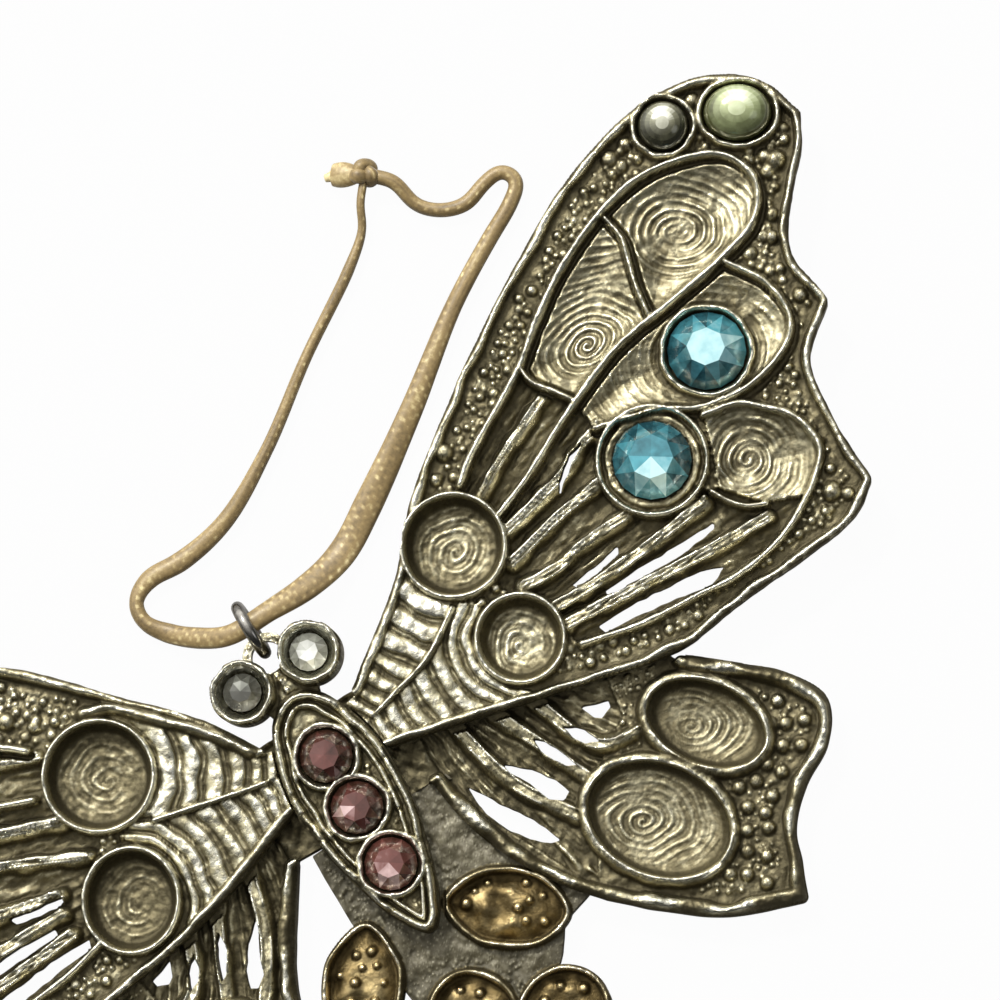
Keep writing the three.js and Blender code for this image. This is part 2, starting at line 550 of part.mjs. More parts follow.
// Cord: out of the knot, through the ring and back, lying on the surface
const cordRadius = CORD_DIAMETER / 2;
const cordLow = cordRadius + CORD_REST;
const cordStation = lugAxis + ringOffset + RING_MEAN_RADIUS - ringWireRadius - CORD_PLAY - cordRadius;
const [kx, ky] = KNOT_PLACE;
const knotExit = KNOT_WIDTH / 2 + KNOT_GAP;
const cordRoute = [
  [kx + knotExit * 0.75, ky - knotExit * 0.85, cordLow + CORD_LIFT], [20.7, 27.1], [21.8, 26], [23.2, 25.6],
  [24.7, 25.9], [25.8, 25.9], [26.1, 25.1], [25.2, 24.3], [23.2, 23.1], [19.5, 20.9], [14, 16.8],
  [9.3, 13.6], [6.6, 12], [4, 11.3, ringLift * 0.62], [1.4, cordStation, ringLift],
  [-1.2, cordStation, ringLift], [-2.9, 12.1, ringLift * 0.6], [-4.2, 13.3], [-5, 14.6], [-4.9, 15.8],
  [-3.6, 16.5], [-1.6, 16.5], [1.7, 17.1], [5.8, 19.3], [10.8, 22.9], [15.4, 25.9], [17.3, 27.5],
  [kx - knotExit * 0.7, ky - knotExit * 0.9, cordLow + CORD_LIFT],
].map(([x, y, z = cordLow]) => [x, y, z]);

function tube(points, radius, spacing) {
  const curve = curveThrough(points);
  const section = new THREE.Shape();
  section.absarc(0, 0, radius, 0, Math.PI * 2);
  const steps = Math.max(3, Math.round(curve.getLength() / spacing));
  return new THREE.ExtrudeGeometry(section, { steps, curveSegments: 4, bevelEnabled: false,
    extrudePath: curve });
}

function knot() {
  const ball = new THREE.SphereGeometry(0.5, 10, 7);
  ball.scale(KNOT_LENGTH, KNOT_WIDTH, KNOT_WIDTH * 0.85);
  ball.rotateZ(THREE.MathUtils.degToRad(130));
  const rise = KNOT_WIDTH * 0.425 + 0.05;
  ball.translate(kx, ky, rise);
  const stub = tube([[kx, ky, rise], [kx - STUB_REACH * 0.3, ky + STUB_REACH * 0.5, rise * 0.9],
    [kx - STUB_REACH * 0.75, ky + STUB_REACH * 0.85, cordLow]], cordRadius, 0.9);
  return toSolid(ball).add(toSolid(stub));
}

// Assembly
const ornament = new THREE.Group();
const PEWTER = { color: 0xb3a888, roughness: 0.35, metalness: 1 };
const STEEL = { color: 0xb9b9b4, roughness: 0.18, metalness: 1 };
const SATIN = { color: 0xc2a877, roughness: 0.6, metalness: 0 };
const GLASS = { roughness: 0.05, metalness: 0.1 };

function add(name, geometry, look, side = 1) {
  const mesh = new THREE.Mesh(geometry, new THREE.MeshStandardMaterial(look));
  mesh.name = name;
  mesh.scale.x = side;
  ornament.add(mesh);
  return mesh;
}

add('body', toGeometry(body()), PEWTER);
add('forewing_right', toGeometry(forewing(RIGHT)), PEWTER);
add('forewing_left', toGeometry(forewing(LEFT)), PEWTER, -1);
add('hindwing_right', toGeometry(hindwing(RIGHT)), PEWTER);
add('hindwing_left', toGeometry(hindwing(LEFT)), PEWTER, -1);
add('flower_spray', toGeometry(flowerSpray()), PEWTER);

add('eye_stone_right', stoneGeometry(eyes[0]), { color: 0xd8dad2, ...GLASS });
add('eye_stone_left', stoneGeometry(eyes[1]), { color: 0xd8dad2, ...GLASS });
['upper', 'middle', 'lower'].forEach((place, i) => add(`body_stone_${place}`, stoneGeometry(roses[i]),
  { color: 0xa8646e, ...GLASS }));
for (const [hand, side] of [['right', 1], ['left', -1]]) {
  add(`blue_stone_outer_${hand}`, stoneGeometry(blues[0]), { color: 0x49a9c4, ...GLASS }, side);
  add(`blue_stone_inner_${hand}`, stoneGeometry(blues[1]), { color: 0x49a9c4, ...GLASS }, side);
  add(`green_stone_${hand}`, stoneGeometry(green), { color: 0xb9cf95, ...GLASS }, side);
  add(`smoky_stone_${hand}`, stoneGeometry(smoky), { color: 0x7c7b62, ...GLASS }, side);
}

const ring = new THREE.TorusGeometry(RING_MEAN_RADIUS, ringWireRadius, 8, 20);
const ringMesh = add('jump_ring', ring, STEEL);
ringMesh.rotation.y = Math.PI / 2;
ringMesh.position.set(0, lugAxis + ringOffset, ringLift);
add('hanging_cord', tube(cordRoute, cordRadius, CORD_STEP), SATIN);
add('cord_knot', toGeometry(knot()), SATIN);

export default ornament;
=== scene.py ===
import math

import bmesh
import bpy
import numpy as np
from mathutils import Matrix, Vector
from mathutils.geometry import tessellate_polygon


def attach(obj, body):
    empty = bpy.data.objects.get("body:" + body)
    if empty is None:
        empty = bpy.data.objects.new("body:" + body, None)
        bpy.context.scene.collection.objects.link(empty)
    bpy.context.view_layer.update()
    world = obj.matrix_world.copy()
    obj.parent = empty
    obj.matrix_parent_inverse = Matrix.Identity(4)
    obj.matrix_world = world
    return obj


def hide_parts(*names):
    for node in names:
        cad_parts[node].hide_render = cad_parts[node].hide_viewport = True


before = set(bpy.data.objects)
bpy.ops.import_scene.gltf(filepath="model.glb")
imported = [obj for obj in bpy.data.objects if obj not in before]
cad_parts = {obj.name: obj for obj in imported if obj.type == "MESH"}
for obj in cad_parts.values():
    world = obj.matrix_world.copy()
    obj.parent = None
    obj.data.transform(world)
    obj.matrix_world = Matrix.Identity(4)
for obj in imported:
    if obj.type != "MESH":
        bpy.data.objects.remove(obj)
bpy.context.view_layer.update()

MM = 0.001
STEP = 0.085  # grid of the wings' relief, mm
LEFT_STEP = 0.09  # grid of the left forewing, which is the largest piece
FINE_STEP = 0.065  # grid of the body's relief, mm
REACH = 3.0  # how far from an outline its distance is worked out, mm

# Levels and widths of the castings, mm
LOWER_PLATE = 1.2
UPPER_DECK = 2.2
BODY_DECK = 2.4
HEAD_DECK = 2.6
RIM_WIDTH = 0.9
RIM_HEIGHT = 0.8
BODY_RIM_WIDTH = 0.6
VEIN_HEIGHT = 0.6
SOLDER_GAP = 0.3
COLLET_WALL = 0.35
STONE_CLEARANCE = 0.1
UPPER_ROOT = UPPER_DECK - 0.45
UPPER_RIM_TOP = UPPER_DECK + RIM_HEIGHT
LOWER_ROOT = LOWER_PLATE - 0.45
LOWER_RIM_TOP = LOWER_PLATE + RIM_HEIGHT

# Stones: place, half length, half width, turn, seat level, height, collet height (mm, degrees)
EYES = [(x, 7.8, 1.4, 1.4, 0, HEAD_DECK, 1.2, 1.4) for x in (2.2, -2.2)]
ROSES = [(0, y, 1.55, 1.55, 0, BODY_DECK, 1.5, 0.9) for y in (2.25, -1.15, -4.85)]
BLUES = [(x, y, 2.3, 2.3, 0, UPPER_DECK, 2.0, 0.9) for x, y in ((30.3, 10.6), (24.4, 6.9))]
GREEN = (39.0, 21.4, 2.0, 1.7, -31.6, UPPER_DECK, 1.6, 0.9)
SMOKY = (35.0, 23.0, 1.5, 1.5, 0, UPPER_DECK, 1.3, 0.9)
WING_STONES = [*BLUES, GREEN, SMOKY]
COLLET_LOOKS = [(1.0, 0.2), (0.3, 0.4), (0.8, 0.25), (0.8, 0.25)]  # lip and tone of the wing collets

# How far a stone's edge lies inside its collet, the gap round it, and the shapes of the cuts
EYE_SINK = 0.27
ROSE_SINK = 0.02
WING_SINK = 0.02
STONE_FIT = 0.03
GIRDLE = 0.35
TABLE_SIZE = {"pointed": 0.56, "flat": 0.48}
DOME = [(0.95, 0.3), (0.85, 0.54), (0.7, 0.74), (0.5, 0.89), (0.26, 0.97)]
FACET_SIDES = 16
DOME_SIDES = 28
FACET_SPREAD = {"pointed": 0.16, "flat": 0.16, "domed": 0.06}  # how much the facets' brightness varies

# Border centre lines, mm
FORE_LEAD = [(3.5, 4.5), (8.8, 8.6), (11.7, 11.8), (20.6, 18.3), (29.4, 23.1), (35.4, 24.4), (39, 23.6),
             (40.95, 21.8), (41.65, 19.6)]
FORE_TIP = [(41.65, 19.6), (40.75, 18), (39.2, 16.4), (37, 13.1), (37.3, 9.6)]
FORE_LOBE = [(37.3, 9.6), (34.75, 7.4), (33.95, 3.5), (34, -0.35)]
FORE_TRAIL = [(34, -0.35), (32.4, -1.4), (24.1, -2.25), (20.3, -2.65), (14.1, -1.35), (3.4, 1.3)]
LEFT_LEAD = [(3.3, 4.4), (5.2, 7.4), (8.7, 11.2), (13.4, 16), (21, 20.2), (29.4, 23.4), *FORE_LEAD[-4:]]
LEFT_TRAIL = [*FORE_TRAIL[:2], (24.1, -2.4), (20.3, -2.9), (10.5, -1.6), (3.4, 0.9)]
HIND_OUTER = [(19.8, -3.6), (21.75, -5.2), (24.35, -7.65), (25.35, -9.6), (24.2, -11.5), (21.85, -12.9),
              (20.1, -14.7), (19.35, -16.5), (18.65, -18.3)]
HIND_LOWER = [(18.65, -18.3), (14.7, -16.75), (12.2, -14.95), (9.5, -12.5)]
HIND_INNER_RIGHT = [(9.5, -12.5), (7.75, -10.4), (6.1, -7.5), (5.15, -4.9), (4.7, -2)]
HIND_INNER_LEFT = [(9.5, -12.5), (9.3, -10), (8.6, -7.6), (7.1, -5), (5, -1.8)]
HIND_PAD = [(0.15, 4.8), (4, 4.8), (8, 3.4), (15, 0.4), (19, -2), (19.8, -3.6)]
PAD_CORNER = (0.15, -1.9)
BODY_SIDE = [(1.3, 5.5), (2.4, 3.2), (2.8, 0.9), (2.6, -2.4), (1.9, -5.3), (1.1, -7.6)]
BODY_TOP = 6.1
BODY_END = -9
NECK_END = 7.965
NECK = [(-1.2, 4.6), (1.2, 4.6), (2.2, 7.8), (0.6, NECK_END), (-0.6, NECK_END), (-2.2, 7.8)]

# Forewing cells, veins, ribs and slots, mm
LOOP = [(15.5, 8.9), (18, 9.9), (21.8, 11.8), (26.1, 13.5), (30.1, 14.1), (33.7, 14.7), (36.6, 15.7),
        (37.8, 17.6), (37, 19.8), (33.6, 21.1), (30.6, 21), (26, 19.2), (22.8, 17.1), (20.8, 15.5),
        (15.5, 12.4), (14.4, 11.5)]
DIVIDER = [(28.6, 14.2), (28.8, 15.7), (29.3, 17.6), (29.6, 18.7), (29.4, 20.2)]
PAST_TIP = [(45, 22), (45, 12)]
LOOP_END = [(20.8, 15.5), (20.9, 14.4), (21.7, 13.3), (22.4, 12.2)]
STONE_LOOP = [(33.9, 14.4), (35.2, 12.2), (35.4, 10.1), (34.9, 9.1), (33.8, 8.3), (31.7, 7.7), (30.1, 7.7),
              (28.2, 8.1), (26.3, 9.2), (24.9, 9.6), (22.6, 10.2)]
LOWER_LOOP = [(28.2, 7.6), (30.3, 7.1), (31.4, 6.1), (32.3, 5.2), (32.8, 4), (32.8, 2.5), (32, 1.5),
              (30.8, 0.6), (28.2, -0.7), (25.1, -1.2), (22.6, -1), (19.1, -0.7), (15.6, 0.1)]
LOWER_CELL = [*LOWER_LOOP[:8], (28.5, 1.6), (26.8, 3.6), (27.6, 5.6)]
CELL_FOOT = [(26.3, 3.65), (26.85, 2.65), (27.6, 1.85), (28.6, 1.4)]
MID_VEIN = [(10.4, 5.7), (7.7, 4), (5.2, 3.3), (3.7, 2.9)]
LEFT_MID_VEIN = [(10.2, 4.3), (7.7, 3.7), (5.2, 3.1), (3.7, 2.8)]
RIBS = [
    [(21.5, 13.5), (17, 11.4), (15.2, 10.4)],
    [(22.8, 10.2), (21.3, 9.7), (19.7, 8.9), (18.6, 8.6), (16.6, 8.1), (15.1, 7.8)],
    [(21.2, 7.4), (18, 6.9), (15.5, 6.3), (14.6, 6.1)],
    [(21.5, 5), (19, 4.9), (16.6, 4.5), (14.4, 4.6)],
    [(25.7, 3.3), (21.2, 2.8), (16.6, 2.6), (15.4, 2.7)],
    [(28.3, 0.7), (24.8, 0.8), (20.7, 1.1), (15.4, 1.5)],
]
LEFT_RIBS = [
    [(21.5, 14.4), (17, 12.1), (14, 10.9)],
    [(22.8, 10.2), (18.1, 8.2), (14.7, 7)],
    [(21.2, 7.4), (18.5, 6.4), (14.4, 4.5)],
    [(21.5, 4.6), (20.5, 4.3), (16.9, 3.5)],
    [(25.7, 2.7), (21.8, 2.5), (17.3, 2.5)],
    [(28.3, 0.6), (21, 0.9), (17.4, 1.2)],
]
RIB_ZONE = [*LOOP[-3:], (13.8, 9), (14, 7), (13.2, 5.2), (14.8, 3.5), (15.2, 1), *LOWER_LOOP[:6:-1],
            *LOWER_CELL[8:10], (25.6, 4), (22.3, 4.8), (21.3, 7), (21.8, 8.9), STONE_LOOP[-1],
            *LOOP_END[:0:-1]]
RIB_CENTRE = (-5, 1.7)
# Broad ribs: width, drop below the root, height above the deck, seed, wobble, tone
FORE_BROAD_RIB = (1.1, 0.3, 0.3, 60, 0.3, 0.3)
HIND_BROAD_RIB = (1.2, 0.2, 0.32, 130, 0.25, 0.42)
# Streaks beside each rib: relief, contrast, seed
FORE_STREAKS = (0.02, 0.06, 27)
HIND_STREAKS = (0.03, 0.1, 127)
# Thin wires on each rib: shift, width, height above the deck, seed, wobble, tone, wear
FORE_RIB_WIRES = [
    ((0.08, 0.26), 0.34, 0.55, 70, 0.8, 0.0, 0.25),
    ((0.0, 0.04), 0.16, 0.52, 75, 0.7, 0.05, 0.4),
    ((-0.08, -0.2), 0.2, 0.45, 80, 0.8, 0.05, 0.3),
]
FORE_OPENINGS = [
    [(21.5, 9.9), (20.3, 9.1), (19, 8.2), (19.3, 8.7), (20.6, 9.7)],
    [(20.1, 3.8), (18.4, 3.55), (16.9, 3.35), (17, 3.1), (18.6, 3.2), (20, 3.5)],
    [(25.4, 2.1), (23, 2.1), (20.5, 2.15), (18.3, 2.05), (18.3, 1.7), (20.5, 1.65), (23, 1.6), (25.3, 1.9)],
    [(24.6, -0.3), (23.4, 0.15), (21.5, 0.35), (19, 0.55), (17, 0.5), (17.1, 0.1), (19, -0.05),
     (21.5, -0.4), (23.6, -0.7)],
]
HUB = [(1.6, 1.2), (1.6, 5.4), (9.2, 9.6), (10.6, 6), (12, 5), (10.4, 1), (12.5, -1.6)]
LEFT_HUB = [(1.6, 0.6), (1.6, 5.4), (4.8, 8.6), (9.4, 12.6), (9.4, 8), (10.4, 5), (12.4, 4.6), (11, 2.6),
            (10.8, -0.6), (12.5, -2.8)]
FRONT_BANDS = [1.45, 1.3, 1.35, 1.1, 1.0, 0.9, 0.8, 0.8, 0.7]
REAR_BANDS = [0.75, 0.8, 1.25, 1.2, 1.1, 1.0, 0.9, 0.8, 0.8]
RING_UPPER = (12.3, 8.7, 2.95, 2.95, 0)
RING_INNER = (12.8, 2.2, 2.5, 2.5, 0)
LEFT_RING_UPPER = (11.6, 8.1, 3.15, 3.15, 0)
LEFT_RING_INNER = (13.6, 1.1, 2.95, 2.7, 120)
STONE_RING = (24.4, 6.9, 3.1, 3.1, 0)
VEIN_WIDTHS = [0.6, 0.5, 0.44, 0.42, 0.56, 0.46, 0.42, 0.36]
# Spirals of the cells: centre, turn, squeeze, pitch, relief, seed and, for the last, its way of winding
CELL_COILS = {
    "tip": (32.6, 17.4, -31.6, 1.2, 0.52, 0.17, 11),
    "middle": (24.7, 14.5, 3.0, 1.45, 0.56, 0.17, 12),
    "stone": (30.3, 10.6, -20, 1.25, 0.6, 0.2, 13),
    "lower": (29.0, 4.2, 20, 1.05, 0.62, 0.16, 14, -1),
}
FORE_GRAINS = [(32.1, 0.1, 0.6), (14.6, 13.6, 0.55), (39.4, 18.0, 0.6), (37.6, 15.4, 0.42),
               (36.9, 14.3, 0.42), (36.3, 12.5, 0.36), (36.5, 10.6, 0.45), (32.8, -0.5, 0.4),
               (31.2, -0.7, 0.35), (13.4, 12.5, 0.4), (31.9, 22.4, 0.32), (29.2, 22.2, 0.3),
               (38.4, 19.2, 0.3)]
COARSE_MARGIN = 42  # x + y / 2 beyond which the margin's granules are large
RIGHT = {"lead": FORE_LEAD, "trail": FORE_TRAIL, "root": [(3.4, 1.3), (1.8, 1.7), (1.8, 4.2)],
         "vein": MID_VEIN, "rings": (RING_UPPER, RING_INNER), "hub": HUB,
         "front": [(1, 2.4), (1, 9), (10, 12)], "ribs": RIBS, "ridges": [],
         "floors": (0.5, 0.3), "step": STEP}
# The left wing's cup floors are painted darker than the right's, as shade
LEFT = {"lead": LEFT_LEAD, "trail": LEFT_TRAIL, "root": [(3.4, 0.9), (1.8, 1.3), (1.8, 4.1)],
        "vein": LEFT_MID_VEIN, "rings": (LEFT_RING_UPPER, LEFT_RING_INNER), "hub": LEFT_HUB,
        "front": [(1, 2.4), (1, 9), (5, 13), (10, 14)], "ribs": LEFT_RIBS,
        "ridges": [[(10.6, 11.6), (9.2, 11.1), (7.8, 9.8), (5.3, 7.1), (3.6, 4.8)]],
        "floors": (0.62, 0.6), "step": LEFT_STEP}

# Hindwing ribs, openings, cups and granules, mm
HIND_RIBS = [[(11.2, 0), (13.4, -5.1), (15.6, -5.6)], [(8.9, 0.4), (11.5, -5.4), (12.2, -7)],
             [(6.8, 0.9), (8.2, -4.5), (10.4, -8)]]
HIND_RIB_ZONE = [(5, 1), (4.8, -3), (9.2, -12), (10.6, -9.6), (13, -6), (15.4, -4.4), (16, -1), (9, 2)]
HIND_CENTRE = (4, 10)
HIND_RIB_WIRES = [
    ((0.26, 0.12), 0.26, 0.56, 140, 0.6, 0.0, 0.25),
    ((-0.24, -0.1), 0.2, 0.46, 145, 0.7, 0.05, 0.3),
]
OPENINGS = [
    [(13.7, -2.75), (15.15, -3.2), (15.05, -3.6), (14.35, -3.85), (14, -3.6)],
    [(12.2, -3.2), (12.8, -3.5), (13.15, -3.9), (13.5, -4.95), (12.85, -4.7), (12.45, -4)],
    [(10.45, -2.95), (10.9, -3.3), (11.3, -4.3), (11.75, -5.45), (11.25, -5.2), (10.85, -4.5),
     (10.45, -3.6)],
    [(8.2, -3.2), (9.4, -4.25), (10.25, -5.5), (10.55, -6.45), (10.1, -6.7), (9.45, -6.3), (8.85, -4.7),
     (8.3, -3.7)],
]
INNER_OPENING = [(5.85, -3.3), (6.75, -4.8), (8.05, -6.8), (8.65, -8.45), (8.2, -8.35), (7.35, -7.6),
                 (6.65, -6.6), (6.1, -5.4), (5.85, -4.4)]
HIND_ROOT_END = 5.4  # x up to which the root is dark and uneven
HIND_MARGIN = 14  # x beyond which the margin is granulated
OVALS = [(19.2, -7.3, 3.6, 2.4, -54), (14.1, -10.5, 4.3, 3.2, -54)]
HIND_GRAIN = 0.42
HIND_GRAINS = [(23.3, -8.3), (24.0, -10.0), (23.0, -9.6), (23.1, -11.1), (22.2, -10.6), (21.4, -11.8),
               (19.9, -11.5), (18.9, -11.3), (20.2, -12.7), (18.7, -12.5), (18.0, -13.6), (19.1, -14.1),
               (17.4, -14.6), (18.2, -15.4), (16.7, -15.7), (17.4, -16.7), (15.9, -15.2), (20.9, -11.0),
               (19.4, -13.3), (22.3, -9.2)]

# Flower spray, mm
WEB_SEAM = -1.93
WEB = [(-3.75, WEB_SEAM), (-3.75, -6.4), (-3, -12.6), (-2.4, -15.8), (3.8, -15.8), (5.6, -14), (6.6, -12.6),
       (9, -11.9), (5.2, WEB_SEAM)]
LEAF_LENGTH = 7.4
LEAF_WIDTH = 4.4
LEAVES = [(4.2, -10.2, -37), (-5, -9.8, 235)]
FLOWER = (0, -18.8)
FLOWER_TURN = 7
PETAL_COUNT = 5
PETAL_RADII = (2.45, 2.3)
PETAL_REACH = 4.35
BOSS_RADIUS = 1.7
BOSS_HEIGHT = 1.5
BEADS = 9
BEAD_TRIES = 60
BEAD_SPACING = 0.75

# Jump ring, lug and cord, mm
RING_RADIUS = 1.5
RING_WIRE = 0.72
RING_CENTRE = (0, 10.74, 1.96)
RING_SIDES = (48, 16)
LUG_END = 10.25
LUG_BACK = 7.8
LUG_HOLE = (0, 8.8825, 0.9175)
LUG_WALL = 0.5
LUG_LEVEL = 1.61
LUG_TOP = LUG_LEVEL + 0.7
CORD_ROUTE = [
    (20.3, 28.84, 0.95), (20.7, 27.1), (21.8, 26), (23.2, 25.6), (24.6, 26.05), (25.9, 26.15), (26.35, 25.2),
    (25.4, 24.3), (23.2, 23.1), (19.5, 20.9), (14, 16.8), (9.3, 13.6), (6.6, 12), (4, 11.3, 1.215),
    (1.4, 11.13, 1.96), (-1.2, 11.13, 1.96), (-2.9, 12.1, 1.176), (-4.2, 13.3), (-5.1, 14.6), (-4.95, 15.85),
    (-3.6, 16.6), (-1.6, 16.5), (1.7, 17.1), (5.8, 19.3), (10.8, 22.9), (15.4, 25.9), (17.3, 27.5),
    (17.98, 28.76, 0.95),
]
CORD_HALF_WIDTH = [0.42, 0.4, 0.42, 0.44, 0.42, 0.42, 0.44, 0.46, 0.48, 0.5, 0.68, 0.84, 0.86, 0.78, 0.62,
                   0.6, 0.62, 0.58, 0.44, 0.42, 0.56, 0.6, 0.5, 0.38, 0.33, 0.34, 0.25, 0.24]
CORD_HALF_HEIGHT = 0.42
CORD_IN_KNOT = [(19.45, 29.75, 0.95), (18.75, 29.7, 0.95)]
CORD_SMOOTHING = 20
# Where the cord is broad, its stitch rows carry painted glints
BROAD_STITCHES = (0.75, 1.25, 1.75, 2.3)  # angles of the stitch rows where the cord is broad
KNOT = (19.1, 30.2, 0.95)
KNOT_TURN = 130
KNOT_TAIL = [(18.9, 30.2, 1.0), (18.4, 30.5, 0.95), (17.9, 30.85, 0.8), (17.55, 31.1, 0.65)]
WISP_LEANS = (-0.3, 0.05, 0.35)

# Camera: what it looks at, how far off it is, its tilt to the tail and its roll
TARGET = Vector((15.9, 9.45, 3.0)) * MM
DISTANCE = 260 * MM
TILT = math.radians(9.0)
ROLL = math.radians(31.6)
FIELD = 56.5 * MM
SENSOR = 36

ahead = Vector((0, -math.sin(TILT), math.cos(TILT)))
across = Vector((1, 0, 0))
along = Vector((0, math.cos(TILT), math.sin(TILT)))
right = across * math.cos(ROLL) - along * math.sin(ROLL)
up = across * math.sin(ROLL) + along * math.cos(ROLL)


def put(name, data):
    made = bpy.data.objects.new(name, data)
    bpy.context.collection.objects.link(made)
    return made


def place_camera():
    data = bpy.data.cameras.new("camera")
    data.sensor_width = SENSOR
    data.lens = SENSOR * DISTANCE / FIELD
    data.clip_start = 0.01
    data.clip_end = 10
    camera = put("camera", data)
    turn = Matrix((right, up, ahead)).transposed().to_4x4()
    camera.matrix_world = Matrix.Translation(TARGET + ahead * DISTANCE) @ turn
    bpy.context.scene.camera = camera


place_camera()


def turned(u, v, degrees):
    c, s = math.cos(math.radians(degrees)), math.sin(math.radians(degrees))
    return u * c - v * s, u * s + v * c


# Distance along a path to each of its points
def distances(path):
    return np.r_[0, np.cumsum(np.linalg.norm(np.diff(path, axis=0), axis=1))]


# Smooth curve through points, evenly spaced, as the castings' own outlines are drawn
def curve(points, step=0.3, closed=False):
    p = np.array(points, float)
    ends = (p[-1:], p[:2]) if closed else (2 * p[:1] - p[1:2], 2 * p[-1:] - p[-2:-1])
    ext = np.vstack([ends[0], p, ends[1]])
    t = np.linspace(0, 1, 16, endpoint=False)[:, None]
    out = []
    for a, b, c, d in zip(ext, ext[1:], ext[2:], ext[3:]):
        d0, d1, d2 = (max(np.linalg.norm(v) ** 0.5, 1e-4) for v in (b - a, c - b, d - c))
        t1 = ((b - a) / d0 - (c - a) / (d0 + d1) + (c - b) / d1) * d1
        t2 = ((c - b) / d1 - (d - b) / (d1 + d2) + (d - c) / d2) * d1
        out.append((2 * t**3 - 3 * t**2 + 1) * b + (t**3 - 2 * t**2 + t) * t1
                   + (3 * t**2 - 2 * t**3) * c + (t**3 - t**2) * t2)
    path = np.vstack(out + [p[:1] if closed else p[-1:]])
    s = distances(path)
    u = np.linspace(0, s[-1], max(2, round(s[-1] / step)) + 1)
    return np.column_stack([np.interp(u, s, column) for column in path.T])


def ellipse(x, y, rx, ry, turn, count=48):
    a = np.linspace(0, 2 * np.pi, count + 1)
    u, v = turned(rx * np.cos(a), ry * np.sin(a), turn)
    return np.column_stack([x + u, y + v])


# Smooth random field between -1 and 1
def noise(x, y, size, seed):
    table = np.random.default_rng(seed).random((61, 67)) * 2 - 1
    gx, gy = x / size + 400, y / size + 400
    ix, iy = np.floor(gx).astype(int), np.floor(gy).astype(int)
    fx, fy = gx - ix, gy - iy
    fx, fy = fx * fx * (3 - 2 * fx), fy * fy * (3 - 2 * fy)

    def at(i, j):
        return table[i % 61, j % 67]

    low = at(ix, iy) * (1 - fx) + at(ix + 1, iy) * fx
    high = at(ix, iy + 1) * (1 - fx) + at(ix + 1, iy + 1) * fx
    return low * (1 - fy) + high * fy


def smooth(low, high, value):
    t = np.clip((value - low) / (high - low), 0, 1)
    return t * t * (3 - 2 * t)
